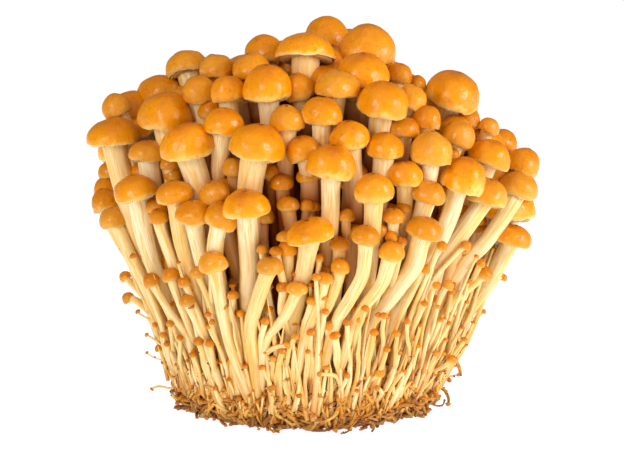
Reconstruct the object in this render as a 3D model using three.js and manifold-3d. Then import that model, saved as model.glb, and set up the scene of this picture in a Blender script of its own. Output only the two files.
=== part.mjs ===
// A bunch of golden enoki mushrooms, grown from one root mat and standing on it.
// Millimetres, +Z up, the viewer on the -Y side. The origin is the middle of the flat underside.

import * as THREE from "three";
import { mergeVertices } from "three/addons/utils/BufferGeometryUtils.js";
import Module from "manifold-3d";

const wasm = await Module();
wasm.setup();
const { Manifold, Mesh: SolidMesh } = wasm;

// Driving dimensions of the bunch, in millimetres
const ROOT_RADIUS = 47; // root mat, where it is widest
const ROOT_SOLE_RADIUS = 41; // its flat underside
const ROOT_HEIGHT = 14;
const SHOULDER_HEIGHT = 70; // where the fan of stems ends and the dome of caps begins
const SHOULDER_RADIUS = 72; // to the middle of the outermost caps, left to right
const SHOULDER_DEPTH = 66; // the same, front to back
const DOME_RISE = 64; // from the shoulder to the middle of the topmost caps
const FOOT_RADIUS = 44; // from the axis to the feet of the outermost stems
const CORE = [ // [radius, height] of the block in which the stems' butts have grown together
  [0, 14], [46, 14], [55.5, 35], [53, 58], [42, 80], [25, 96], [0, 103],
];
const FLUTE = 1.3; // how deep the butts of the stems show in the side of the core
const FLUTES = 5;
const ROOTED = 3; // how deep the feet of the stems are sunk in the root mat and in the core
const GAP = 0.3; // clearance between a cap and what it doesn't grow on
const SCRAP = 25; // smallest body kept of what the cuts leave, in cubic millimetres

// Proportions of one mushroom
const STEM_SHARE = 0.43; // stem thickness over cap width
const FOOT_TAPER = 0.62; // stem thickness at the foot over that at the cap
const SMALL_STEM_LENGTH = 8; // height of a small mushroom over the radius of its cap
const OUTWARD_NOD = 0.24; // how far the outermost caps lean out, as a slope
const STEM_RISE = 0.32; // how far a stem rises before it turns outward, as a share of its span
const STEM_FLARE = 0.34; // how far it has come outward by then
const STEM_SQUARE = 0.3; // the length over which it turns square to its cap
const LARGE_STEM_END = 0.03; // where a stem ends over the rim of its cap, as a share of the cap's height
const SMALL_STEM_END = 0.4;
const UPRIGHT = 45; // stems under caps this near to the axis are straight, in millimetres
const THICK = 8; // radius of a cap whose stem is drawn in three lengths
const SMALLEST = 2.8; // radius of the smallest mushroom set out by hand
const OWN_BODY = 10.8; // a cap at least this wide is a body of its own, in millimetres

// The viewpoint from which the front caps are set out on a front view of 624 by 460 picture points
const VIEW = { across: 312, down: 230, points: 1944, distance: 700, pitch: Math.PI / 18, height: 62.9 };

// Front mushrooms: [across, down, wide, tall] is the box around the cap on the front view, by its
// middle and its size in picture points. Then come how far the cap stands behind the front of the
// bunch in millimetres, and its own lean to the right in degrees.
const FRONT = [
  // Crown, from left to right
  [188, 63, 43, 28, 4, -9], [217, 66, 35, 25, 2, 0], [252, 66, 40, 26, 3, -10], [265, 48, 41, 28, 8, 0],
  [306, 50, 60, 34, 0, 4], [326, 33, 46, 34, 6, 0], [367, 45, 56, 40, 0, 5], [398, 72, 26, 22, 6, 10],
  [417, 82, 18, 14, 10, 0], [450, 89, 57, 40, 0, 8], [467, 117, 24, 18, 8, 10], [487, 125, 22, 18, -8, 10],
  // Second row
  [160, 87, 44, 24, 5, 0], [119, 101, 30, 29, -10, -12], [135, 104, 42, 34, 3, -12], [166, 110, 57, 41, 0, 8],
  [200, 89, 35, 27, 3, 0], [228, 89, 35, 28, 0, 5], [268, 84, 50, 39, 0, 0], [300, 83, 34, 34, 6, -15],
  [337, 84, 47, 30, 2, 5], [362, 70, 54, 35, 3, 0], [382, 100, 54, 39, 0, 5], [409, 95, 33, 31, 4, 10],
  [426, 117, 30, 25, 4, 0], [456, 128, 33, 37, 3, 15], [478, 133, 16, 16, 10, 0], [500, 138, 32, 20, 4, 15],
  // Third row
  [114, 132, 56, 31, -16, 8], [148, 151, 38, 23, 6, 8], [188, 141, 55, 38, 0, -6], [210, 108, 24, 20, 12, 0],
  [223, 122, 41, 30, 2, 12], [256, 143, 57, 40, 0, 14], [287, 119, 36, 28, 4, 0], [322, 111, 40, 31, 2, 0],
  [350, 136, 41, 31, 3, -8], [305, 148, 35, 26, 8, -20], [331, 162, 49, 36, 0, 4], [384, 146, 39, 28, 3, 0],
  [403, 127, 33, 23, 5, 0], [431, 148, 44, 37, 0, -5], [461, 174, 47, 38, 0, 8], [488, 153, 43, 30, 0, 6],
  [522, 160, 36, 26, -12, 10], [452, 152, 14, 14, 8, 0],
  // Fourth row, and the caps that show behind it
  [110, 168, 22, 20, 16, 0], [107, 186, 26, 20, 14, 0], [106, 198, 30, 24, 6, -6], [136, 188, 46, 29, 0, 0],
  [175, 192, 37, 25, 2, 0], [142, 170, 22, 16, 16, 0], [170, 163, 20, 14, 12, 10], [174, 173, 20, 16, 16, 0],
  [234, 165, 24, 23, 12, 0], [224, 184, 20, 20, 14, 0], [216, 192, 32, 23, 8, -15], [246, 204, 49, 31, 0, 2],
  [272, 170, 20, 20, 14, 0], [282, 182, 24, 17, 14, 0], [308, 175, 24, 16, 14, 0], [288, 204, 23, 16, 12, 0],
  [307, 205, 15, 12, 14, 0], [349, 183, 20, 16, 14, 0], [358, 172, 20, 16, 14, 0], [346, 215, 18, 14, 10, 0],
  [374, 188, 40, 31, 0, -5], [405, 174, 36, 27, 4, -5], [427, 192, 36, 25, 3, 5], [486, 192, 42, 29, 2, 3],
  [517, 184, 41, 28, -14, 2], [498, 174, 22, 16, 10, 0],
  // Fifth row
  [114, 217, 28, 22, -16, 0], [159, 216, 21, 16, 6, 0], [157, 205, 22, 16, 12, 0], [193, 213, 35, 26, 2, 5],
  [220, 215, 34, 28, 4, 20], [311, 232, 48, 28, 0, -14], [288, 248, 21, 16, 8, 0], [339, 244, 20, 15, 8, 0],
  [365, 235, 29, 21, 0, 2], [379, 228, 15, 15, 7, 15], [393, 216, 23, 16, 5, 0], [403, 207, 16, 12, 9, 0],
  [391, 236, 13, 11, 5, 0], [401, 240, 12, 12, 5, 0], [424, 228, 38, 24, 0, 4], [512, 235, 37, 22, -18, 0],
  [391, 251, 27, 21, 0, 5],
  // Small mushrooms in front of the stems
  [214, 262, 30, 23, 0, -6], [270, 266, 27, 19, 0, 4], [153, 279, 18, 15, 0, -16], [172, 274, 18, 15, 3, -12],
  [185, 281, 14, 12, 3, -10], [198, 272, 15, 13, 4, 0], [188, 300, 17, 13, 0, -15], [127, 274, 13, 12, 2, -25],
  [130, 295, 13, 12, 0, -30], [233, 295, 13, 9, 2, 0], [241, 313, 9, 7, 2, 0], [269, 308, 9, 9, 4, 0],
  [297, 288, 22, 14, 0, 6], [283, 286, 14, 11, 3, 0], [312, 300, 12, 10, 1, 10], [340, 266, 20, 17, 3, 5],
  [325, 278, 18, 13, 1, 5], [262, 248, 11, 12, 5, 0], [276, 251, 14, 9, 4, 0], [319, 256, 10, 12, 6, 0],
  [441, 245, 12, 11, 2, 20], [465, 244, 11, 10, 5, 20], [424, 267, 11, 12, 3, 20], [483, 272, 17, 14, 0, 20],
  [480, 262, 10, 9, 3, 15], [502, 274, 9, 12, 5, 20], [436, 284, 9, 9, 1, 15], [447, 284, 12, 10, 1, 20],
];

// Sides and back, which grow by rule
const SEED = 7;
const GOLDEN_ANGLE = 2.399963;
const REST_PLACES = 104; // places tried from the crown down to the sides
const REST_LOWEST = 0.42; // how far below the shoulder they go, as a share
const REST_REACH = 0.97; // how far they stand out, as a share of the reach of the front
const LOW_REACH = 1.04; // the same below the shoulder
const REST_FROM = -34; // front edge of these places at the crown, in millimetres
const SIDE_FROM = -14; // the same at the sides
const LOW_FROM = 18; // the same below the shoulder
const REST_WIDTHS = Array.from({ length: 31 }, (_, i) => 22 - 0.4 * i);
const LOW_WIDTHS = REST_WIDTHS.map((width) => 0.55 * width); // the same, below the shoulder
const CROWN_PLACES = 22; // places tried in the gaps behind the front of the crown
const CROWN_RADIUS = 38;
const CROWN_FRONT = -6; // the middle of these places, front to back
const CROWN_SUNK = 10; // how far they stand under the top of the dome
const CROWN_WIDTHS = REST_WIDTHS.filter((width) => width > 12);
const HIDING_WIDE = 0.48; // a front cap hides what is behind it within this share of its width
const HIDING_TALL = 0.3; // and under this share of its height above its middle
const PRESS = 0.8; // caps press into each other until this share of each is clear
const TOUCH = 0.9; // caps that are in each other at this share of their size have grown together
const STEP = 0.5; // how far a cap moves at a time to find its place, in millimetres
const LEAN_BACK = 9; // how far a free cap is set back to lean on another, in millimetres
const PIN_ROOM = 1.3; // pinheads keep clear of caps grown to this share
const PIN_COUNT = 11; // pinheads around the foot of the bunch
const PIN_WIDTH = [2.6, 4.2];
const PIN_HEIGHT = [20, 46];

const UP = new THREE.Vector3(0, 0, 1);
const LINE_OF_SIGHT = new THREE.Vector3(0, Math.cos(VIEW.pitch), -Math.sin(VIEW.pitch));
const PICTURE_UP = new THREE.Vector3(0, Math.sin(VIEW.pitch), Math.cos(VIEW.pitch));
const EYE = new THREE.Vector3(0, 0, VIEW.height).addScaledVector(LINE_OF_SIGHT, -VIEW.distance);

let state = SEED;
function random(low = 0, high = 1) {
  state = (state * 1664525 + 1013904223) % 4294967296;
  return low + ((high - low) * state) / 4294967296;
}

// The point at depth y that the viewer sees at a place on the front view.
function seenAt(across, down, y) {
  const ray = LINE_OF_SIGHT.clone()
    .addScaledVector(new THREE.Vector3(1, 0, 0), (across - VIEW.across) / VIEW.points)
    .addScaledVector(PICTURE_UP, (VIEW.down - down) / VIEW.points);
  return EYE.clone().addScaledVector(ray, (y - EYE.y) / ray.y);
}

const millimetresPerPoint = (p) => p.clone().sub(EYE).dot(LINE_OF_SIGHT) / VIEW.points;

// How far out the bunch reaches at a height, as a share of its shoulder.
function reach(z) {
  const rootShare = ROOT_RADIUS / SHOULDER_RADIUS;
  if (z < SHOULDER_HEIGHT) return rootShare + ((1 - rootShare) * Math.max(0, z)) / SHOULDER_HEIGHT;
  return Math.sqrt(Math.max(0, 1 - ((z - SHOULDER_HEIGHT) / DOME_RISE) ** 2));
}

// Depth of the front of the bunch at a place left or right and a height.
function frontDepth(x, z) {
  const r = reach(z);
  return -SHOULDER_DEPTH * Math.sqrt(Math.max(0, r * r - (x / SHOULDER_RADIUS) ** 2));
}

// A cap leans out from the middle of the bunch, and by its own lean to the right.
function capAxis(x, y, lean) {
  return new THREE.Vector3((x / SHOULDER_RADIUS) * OUTWARD_NOD, (y / SHOULDER_DEPTH) * OUTWARD_NOD, 1)
    .normalize()
    .applyAxisAngle(new THREE.Vector3(0, 1, 0), THREE.MathUtils.degToRad(lean));
}

// A front cap at a depth: its rim's middle, its radius and its height, from the box that it fills.
function frontCap([across, down, wide, tall, , lean], y) {
  const middle = seenAt(across, down, y);
  const point = millimetresPerPoint(middle);
  const radius = (wide * point) / 2;
  const axis = capAxis(middle.x, y, lean);
  const tipped = Math.min(0.6, Math.max(0.1, Math.asin(-axis.dot(LINE_OF_SIGHT))));
  const front = radius * Math.sin(tipped);
  const crown = Math.max(tall * point - front, front);
  const height = Math.sqrt(Math.max(0, crown ** 2 - front ** 2)) / Math.cos(tipped);
  const rim = middle.addScaledVector(PICTURE_UP, front - (tall * point) / 2);
  return { rim, radius, height: Math.min(1.35 * radius, Math.max(0.75 * radius, height)), axis };
}

// Points on the skin of a cap, as [share of the radius, share of the height, how many around].
const SKIN_RINGS = [[1, 0, 12], [0.87, 0.5, 9], [0.6, 0.8, 6], [0, 1, 1]];

function skinPoints(cap, share) {
  const across = new THREE.Vector3(0, 1, 0).cross(cap.axis).normalize();
  const side = new THREE.Vector3().crossVectors(cap.axis, across);
  return SKIN_RINGS.flatMap(([r, h, count]) => Array.from({ length: count }, (_, i) => {
    const angle = (2 * Math.PI * i) / count;
    return cap.rim.clone()
      .addScaledVector(across, cap.radius * r * share * Math.cos(angle))
      .addScaledVector(side, cap.radius * r * share * Math.sin(angle))
      .addScaledVector(cap.axis, cap.height * h * share);
  }));
}

function holds(cap, point, share) {
  const from = point.clone().sub(cap.rim);
  const h = from.dot(cap.axis);
  if (h < -0.06 * cap.height) return false;
  const out = from.lengthSq() - h * h;
  return out / (cap.radius * share) ** 2 + (h / (cap.height * share)) ** 2 < 1;
}

// Whether two caps, each shrunk to a share of its size, are in each other.
function pressed(a, b, share) {
  if (a.rim.distanceTo(b.rim) > 1.4 * (a.radius + b.radius)) return false;
  return skinPoints(a, share).some((p) => holds(b, p, share)) ||
    skinPoints(b, share).some((p) => holds(a, p, share));
}

// Front caps are set back along the line of sight until they clear those in front of them.
function placeFront() {
  const caps = [];
  const order = (row) => 10 * row[4] - row[1];
  for (const row of [...FRONT].sort((a, b) => order(a) - order(b))) {
    let y = 0;
    for (let pass = 0; pass < 6; pass++) {
      const p = seenAt(row[0], row[1], y);
      y = frontDepth(p.x, p.z);
    }
    let cap = frontCap(row, (y += row[4]));
    while (caps.some((c) => pressed(c, cap, PRESS))) cap = frontCap(row, (y += STEP));
    let leaning = cap;
    for (let back = 0; back < LEAN_BACK && !caps.some((c) => pressed(c, leaning, TOUCH)); back += STEP)
      leaning = frontCap(row, y + back);
    const rests = caps.some((c) => pressed(c, leaning, TOUCH)) && !caps.some((c) => pressed(c, leaning, PRESS));
    caps.push(rests ? leaning : cap);
  }
  return caps;
}

// Whether the front caps, or what is below them, hide a point from the viewer.
function hidden(p) {
  const from = p.clone().sub(EYE);
  const point = millimetresPerPoint(p);
  const a = VIEW.across + from.x / point;
  const d = VIEW.down - from.dot(PICTURE_UP) / point;
  return FRONT.some(([across, down, wide, tall]) =>
    Math.abs(a - across) < HIDING_WIDE * wide && d > down - HIDING_TALL * tall);
}

// The rest of the bunch fills up like a sunflower head, from the crown down to the sides. Each place
// is sunk until the front caps hide it, and takes the widest cap that has room there, so that the
// caps lean on each other.
function placeRest(front) {
  const caps = [...front];
  const grow = (x, y, z, widths) => {
    const rim = new THREE.Vector3(x, y, z);
    const share = random(0.95, 1.25);
    const axis = capAxis(x, y, random(-8, 8));
    const widest = { rim, radius: widths[0] / 2, height: (share * widths[0]) / 2, axis };
    const crown = () => skinPoints(widest, 1).slice(-7);
    while (rim.z > SHOULDER_HEIGHT && !crown().every(hidden)) rim.z -= STEP;
    const fits = (width) => {
      const cap = { rim, radius: width / 2, height: (share * width) / 2, axis };
      return caps.some((c) => pressed(c, cap, PRESS)) ? null : cap;
    };
    const cap = widths.map(fits).find((made) => made);
    if (cap) caps.push(cap);
  };
  for (let i = 0; i < REST_PLACES; i++) {
    const fall = Math.acos(1 - ((1 + REST_LOWEST) * (i + 0.5)) / REST_PLACES);
    const turn = i * GOLDEN_ANGLE;
    const above = fall < Math.PI / 2;
    const z = SHOULDER_HEIGHT + Math.cos(fall) * (above ? DOME_RISE * REST_REACH : SHOULDER_HEIGHT);
    const out = above ? REST_REACH * Math.sin(fall) : LOW_REACH * reach(z);
    const x = SHOULDER_RADIUS * out * Math.cos(turn);
    const y = SHOULDER_DEPTH * out * Math.sin(turn);
    if (y < (above ? Math.min(REST_FROM * Math.cos(fall), SIDE_FROM) : LOW_FROM)) continue;
    grow(x, y, z + 0.35 * Math.min(y, 0), above ? REST_WIDTHS : LOW_WIDTHS);
  }
  for (let i = 0; i < CROWN_PLACES; i++) {
    const out = CROWN_RADIUS * Math.sqrt((i + 0.5) / CROWN_PLACES);
    const turn = i * GOLDEN_ANGLE + Math.PI;
    const x = out * Math.cos(turn);
    const y = CROWN_FRONT + out * Math.sin(turn);
    grow(x, y, SHOULDER_HEIGHT + DOME_RISE - CROWN_SUNK - out / 3, CROWN_WIDTHS);
  }
  return caps.slice(front.length);
}

// Pinheads stand all round the lower stems.
function placePins(others) {
  const caps = [];
  for (let i = 0; i < PIN_COUNT; i++) {
    const turn = (i * GOLDEN_ANGLE) % (2 * Math.PI);
    const z = random(...PIN_HEIGHT);
    const radius = random(...PIN_WIDTH) / 2;
    const out = reach(z) * random(0.98, 1.06);
    const rim = new THREE.Vector3(
      SHOULDER_RADIUS * out * Math.cos(turn), SHOULDER_DEPTH * out * Math.sin(turn), z);
    const axis = new THREE.Vector3(0.7 * Math.cos(turn), 0.7 * Math.sin(turn), 1).normalize();
    const cap = { rim, radius, height: radius * 1.3, axis };
    if (![...others, ...caps].some((c) => pressed(c, cap, PIN_ROOM))) caps.push(cap);
  }
  return caps;
}

// Radius of the core at a height.
function coreRadius(z) {
  const i = CORE.findIndex(([, height], k) => k > 1 && height > z);
  if (i < 0) return 0;
  const [[r0, z0], [r1, z1]] = [CORE[i - 1], CORE[i]];
  return r0 + ((r1 - r0) * Math.max(0, z - z0)) / (z1 - z0);
}

// Where a stem is rooted: a large one in the root mat, a small one in the side of the core.
function stemFoot(cap) {
  const out = Math.max(Math.hypot(cap.rim.x / SHOULDER_RADIUS, cap.rim.y / SHOULDER_DEPTH), 0.01);
  const low = ROOT_HEIGHT - ROOTED;
  const z = cap.radius * 2 < OWN_BODY ? Math.max(low, cap.rim.z - SMALL_STEM_LENGTH * cap.radius) : low;
  const r = reach(Math.min(cap.rim.z, SHOULDER_HEIGHT));
  const fan = Math.min((FOOT_RADIUS / SHOULDER_RADIUS) * (out / r), FOOT_RADIUS / SHOULDER_RADIUS);
  const share = z > low ? Math.min((coreRadius(z) - ROOTED) / SHOULDER_RADIUS, 0.9 * out) : fan;
  return new THREE.Vector3((cap.rim.x * share) / out, (cap.rim.y * share) / out, z);
}

// A stem leaves its foot with the fan of the bunch and ends square to its cap. A large cap sits a gap
// above its stem's end. A small one is one body with its stem.
function stemPath(cap) {
  const foot = stemFoot(cap);
  const end = cap.radius * 2 < OWN_BODY ? SMALL_STEM_END * cap.height : LARGE_STEM_END * cap.height - GAP;
  const top = cap.rim.clone().addScaledVector(cap.axis, end);
  const span = top.distanceTo(foot);
  const flare = new THREE.Vector3(top.x - foot.x, top.y - foot.y, 0).multiplyScalar(STEM_FLARE);
  return new THREE.CubicBezierCurve3(
    foot,
    foot.clone().addScaledVector(UP, span * STEM_RISE).add(flare),
    top.clone().addScaledVector(cap.axis, -span * STEM_SQUARE),
    top,
  );
}

// A closed solid from a three.js geometry.
function solid(geometry) {
  const bare = geometry.clone();
  bare.deleteAttribute("normal");
  bare.deleteAttribute("uv");
  const merged = mergeVertices(bare, 1e-4);
  const corners = merged.index.array;
  const kept = [];
  for (let i = 0; i < corners.length; i += 3) {
    const [a, b, c] = corners.slice(i, i + 3);
    if (a !== b && b !== c && c !== a) kept.push(a, b, c);
  }
  const make = (triVerts) =>
    new Manifold(new SolidMesh({
      numProp: 3, vertProperties: merged.attributes.position.array, triVerts: new Uint32Array(triVerts),
    }));
  const made = make(kept);
  if (made.volume() > 0) return made;
  return make(kept.reverse());
}

// A geometry's points, each moved by a rule.
function shaped(geometry, rule) {
  const points = geometry.getAttribute("position");
  const p = new THREE.Vector3();
  for (let i = 0; i < points.count; i++) {
    p.fromBufferAttribute(points, i);
    rule(p);
    points.setXYZ(i, p.x, p.y, p.z);
  }
  return geometry;
}

// How many straight lengths a stem is made of: one in the middle of the bunch, where stems stand
// upright, and three where a thick one curves out to the front.
function stemBands(cap) {
  if (Math.hypot(cap.rim.x, cap.rim.y) < UPRIGHT) return 1;
  return cap.rim.y < 0 && cap.radius > THICK ? 3 : 2;
}

// A stem is a cylinder bent along its path, thinner at the foot.
function stemSolid(cap, extra = 0) {
  const path = stemPath(cap);
  const width = cap.radius * STEM_SHARE;
  const sides = cap.radius * 2 >= OWN_BODY ? 4 : 3;
  const bands = stemBands(cap);
  const across = new THREE.Vector3();
  const side = new THREE.Vector3();
  return solid(shaped(new THREE.CylinderGeometry(1, 1, 1, sides, bands), (p) => {
    const t = Math.min(1, Math.max(0, p.y + 0.5));
    const along = path.getTangent(t);
    across.crossVectors(new THREE.Vector3(0, 1, 0), along).normalize();
    side.crossVectors(along, across);
    const r = width * (FOOT_TAPER + (1 - FOOT_TAPER) * t) + extra;
    const { x, z } = p;
    p.copy(path.getPoint(t)).addScaledVector(across, x * r).addScaledVector(side, z * r);
  }));
}

// Outline of a cap for a radius and height of 1: crown, shoulder, inrolled margin and gill side.
const CAP_OUTLINE = [[0, 1], [0.62, 0.82], [0.98, 0.3], [0.94, -0.06], [0, 0.1]];
const SMALL_CAP_OUTLINE = [[0, 1], [0.74, 0.74], [1, 0.08], [0, 0.04]];

function capSolid(cap, extra = 0) {
  const outline = cap.radius > 6.5 ? CAP_OUTLINE : SMALL_CAP_OUTLINE;
  const sides = cap.radius > 7.5 ? 7 : cap.radius > 4 ? 6 : 4;
  const profile = outline.map(([r, z]) => new THREE.Vector2(r, z));
  const turn = new THREE.Quaternion().setFromUnitVectors(UP, cap.axis);
  return solid(shaped(new THREE.LatheGeometry(profile, sides), (p) => {
    const angle = Math.atan2(p.z, p.x);
    const wave = 1 + 0.03 * Math.cos(2 * angle + cap.index * 2.4) + 0.02 * Math.cos(3 * angle + cap.index * 1.7);
    const r = (cap.radius + extra) * wave;
    p.set(p.x * r, p.z * r, p.y * (cap.height + extra) - (p.y < 0.3 ? extra : 0));
    p.applyQuaternion(turn).add(cap.rim);
  }));
}

// The root mat: a low disc of matted threads, ribbed and pitted round its side, flat underneath.
function rootMat() {
  const outline = [[0, 0], [0.55, 0], [ROOT_SOLE_RADIUS / ROOT_RADIUS, 0], [0.96, 0.3], [1, 0.6],
    [0.98, 0.86], [0.93, 1], [0, 1]];
  const profile = outline.map(([r, z]) => new THREE.Vector2(r * ROOT_RADIUS, z * ROOT_HEIGHT));
  const disc = solid(shaped(new THREE.LatheGeometry(profile, 26), (p) => {
    const angle = Math.atan2(p.z, p.x);
    const r = Math.hypot(p.x, p.z);
    const edge = Math.min(1, Math.max(0, r / ROOT_RADIUS - 0.6) / 0.35);
    const rib = 0.9 * Math.sin(14 * angle + 0.35 * p.y) + 0.7 * Math.sin(23 * angle - 0.5 * p.y);
    const grown = 1 + (edge * rib) / ROOT_RADIUS;
    p.set(p.x * grown, p.z * grown * (SHOULDER_DEPTH / SHOULDER_RADIUS), p.y);
  }));
  const threads = [];
  for (let i = 0; i < 12; i++) threads.push(rootThread(i));
  return Manifold.union([disc, ...threads]).trimByPlane([0, 0, 1], 0).trimByPlane([0, 0, -1], -ROOT_HEIGHT);
}

// A short curled thread that leaves the side of the root mat.
function rootThread(i) {
  const turn = (i * GOLDEN_ANGLE) % (2 * Math.PI);
  const z = random(2, ROOT_HEIGHT - 3);
  const at = (out, lift, swing) => new THREE.Vector3(
    (ROOT_RADIUS + out) * Math.cos(turn + swing),
    (ROOT_RADIUS + out) * (SHOULDER_DEPTH / SHOULDER_RADIUS) * Math.sin(turn + swing),
    z + lift);
  const swing = random(-0.1, 0.1);
  const path = new THREE.CubicBezierCurve3(at(-6, 0, 0), at(1.5, random(-1, 2), swing / 2),
    at(3.2, random(-1.5, 2), swing), at(random(0.5, 3), random(0, 3), swing * 1.6));
  return solid(shaped(new THREE.CylinderGeometry(1, 1, 1, 4, 3), (p) => {
    const t = Math.min(1, Math.max(0, p.y + 0.5));
    const along = path.getTangent(t);
    const across = new THREE.Vector3().crossVectors(UP, along).normalize();
    const side = new THREE.Vector3().crossVectors(along, across);
    const r = 1 - 0.35 * t;
    const { x, z: w } = p;
    p.copy(path.getPoint(t)).addScaledVector(across, x * r).addScaledVector(side, w * r);
  }));
}

// The butts of the stems, grown together into one fluted block that the stems stand out of.
function stemCore(extra = 0) {
  const profile = CORE.map(([r, z]) => new THREE.Vector2(r > 0 ? r + extra : 0, z > ROOT_HEIGHT ? z + extra : z));
  return solid(shaped(new THREE.LatheGeometry(profile, 20), (p) => {
    const angle = Math.atan2(p.z, p.x);
    const r = Math.hypot(p.x, p.z);
    const flute = FLUTE * Math.min(1, r / 30) * Math.sin(FLUTES * angle + 0.03 * p.y);
    const grown = r > 0 ? 1 + flute / r : 1;
    p.set(p.x * grown, p.z * grown * (SHOULDER_DEPTH / SHOULDER_RADIUS), p.y);
  }));
}

function mesh(name, made, material) {
  const { numProp, vertProperties, triVerts } = made.getMesh();
  const points = new Float32Array((vertProperties.length / numProp) * 3);
  for (let i = 0; i < points.length / 3; i++)
    points.set(vertProperties.subarray(i * numProp, i * numProp + 3), i * 3);
  const geometry = new THREE.BufferGeometry();
  geometry.setAttribute("position", new THREE.BufferAttribute(points, 3));
  geometry.setIndex(new THREE.BufferAttribute(new Uint32Array(triVerts), 1));
  geometry.computeVertexNormals();
  const piece = new THREE.Mesh(geometry, material);
  piece.name = name;
  return piece;
}

const capSkin = new THREE.MeshStandardMaterial({ color: 0xe8961e, roughness: 0.35, metalness: 0 });
const stemFlesh = new THREE.MeshStandardMaterial({ color: 0xf2d9a4, roughness: 0.6, metalness: 0 });
const rootThreads = new THREE.MeshStandardMaterial({ color: 0xb98a4a, roughness: 0.85, metalness: 0 });

const front = placeFront().filter((cap) => cap.radius > SMALLEST);
const back = placeRest(front);
const mushrooms = [...front, ...back, ...placePins([...front, ...back])];
mushrooms.forEach((cap, i) => (cap.index = i));
const large = mushrooms.filter((cap) => cap.radius * 2 >= OWN_BODY);
const small = mushrooms.filter((cap) => cap.radius * 2 < OWN_BODY);

const stems = Manifold.union([
  stemCore(),
  ...mushrooms.map((cap) => stemSolid(cap)),
  ...small.map((cap) => capSolid(cap)),
]).trimByPlane([0, 0, 1], ROOT_HEIGHT + GAP);

// Each large cap is cut clear of the stems and small caps that pass it, and fused with those it presses.
function clearOf(cap) {
  const near = (other) => {
    const corners = stemPath(other).getPoints(stemBands(other));
    const room = 1.4 * cap.radius + STEM_SHARE * other.radius + 2;
    return other !== cap && corners.slice(1).some((end, i) => new THREE.Line3(corners[i], end)
      .closestPointToPoint(cap.rim, true, new THREE.Vector3())
      .distanceTo(cap.rim) < room);
  };
  const passing = mushrooms.filter(near).map((other) => stemSolid(other, GAP));
  const pressing = small
    .filter((other) => other.rim.distanceTo(cap.rim) < cap.radius + other.radius + 12)
    .map((other) => capSolid(other, GAP));
  return capSolid(cap).subtract(Manifold.union([stemCore(GAP), ...passing, ...pressing]));
}
const largest = (made) => made.decompose().sort((a, b) => b.volume() - a.volume())[0];
const capBodies = Manifold.union(large.map((cap) => largest(clearOf(cap))))
  .decompose()
  .filter((body) => body.volume() > SCRAP)
  .sort((a, b) => b.boundingBox().max[2] - a.boundingBox().max[2]);

const bunch = new THREE.Group();
bunch.add(mesh("root_mat", rootMat(), rootThreads));
bunch.add(mesh("stems", largest(stems), stemFlesh));
capBodies.forEach((body, i) => bunch.add(mesh(`caps_${String(i + 1).padStart(2, "0")}`, body, capSkin)));

export default bunch;
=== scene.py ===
"""A bunch of golden enoki mushrooms: amber caps on cream stems, pinheads, and a tangled root mat.

Places are worked out in millimetres by the rules that the solids follow, and meshes are made in metres.
"""

import math
from dataclasses import dataclass, field

import bpy
import numpy as np
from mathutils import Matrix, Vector, kdtree, noise


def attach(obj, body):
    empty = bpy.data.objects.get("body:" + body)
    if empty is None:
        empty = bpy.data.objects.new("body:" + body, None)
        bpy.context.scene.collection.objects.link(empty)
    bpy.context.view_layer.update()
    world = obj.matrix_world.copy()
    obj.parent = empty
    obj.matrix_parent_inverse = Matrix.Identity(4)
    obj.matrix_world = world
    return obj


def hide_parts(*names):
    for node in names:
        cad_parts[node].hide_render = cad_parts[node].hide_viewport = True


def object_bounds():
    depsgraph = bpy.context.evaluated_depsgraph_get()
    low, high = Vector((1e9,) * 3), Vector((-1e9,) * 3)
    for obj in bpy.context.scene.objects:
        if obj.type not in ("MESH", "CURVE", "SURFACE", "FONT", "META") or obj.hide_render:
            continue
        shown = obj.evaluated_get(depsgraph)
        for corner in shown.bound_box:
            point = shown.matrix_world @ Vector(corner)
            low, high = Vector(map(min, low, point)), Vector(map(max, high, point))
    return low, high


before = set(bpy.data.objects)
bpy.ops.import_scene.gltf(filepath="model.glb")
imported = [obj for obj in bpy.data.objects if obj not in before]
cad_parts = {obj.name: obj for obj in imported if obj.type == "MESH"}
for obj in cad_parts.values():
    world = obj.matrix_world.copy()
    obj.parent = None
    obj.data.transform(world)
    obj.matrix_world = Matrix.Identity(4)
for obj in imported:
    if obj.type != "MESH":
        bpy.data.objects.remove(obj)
cad_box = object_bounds()

MM = 0.001

# Driving dimensions of the bunch, in millimetres
ROOT_RADIUS = 47
ROOT_SOLE_RADIUS = 41
ROOT_HEIGHT = 14
SHOULDER_HEIGHT = 70  # where the fan of stems ends and the dome of caps begins
SHOULDER_RADIUS = 72
SHOULDER_DEPTH = 66
DOME_RISE = 64
FOOT_RADIUS = 44  # from the axis to the feet of the outermost stems
# The stems' butts, grown together, as an outline of [radius, height]
CORE = [(0, 14), (46, 14), (55.5, 35), (53, 58), (42, 80), (25, 96), (0, 103)]
CORE_SHARE = 0.86  # how far out the heart of the stems, dark with browning and painted shade, is drawn, as a share of the core
ROOTED = 3  # how deep the feet of the stems are sunk in the root mat
FLAT = SHOULDER_DEPTH / SHOULDER_RADIUS

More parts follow.
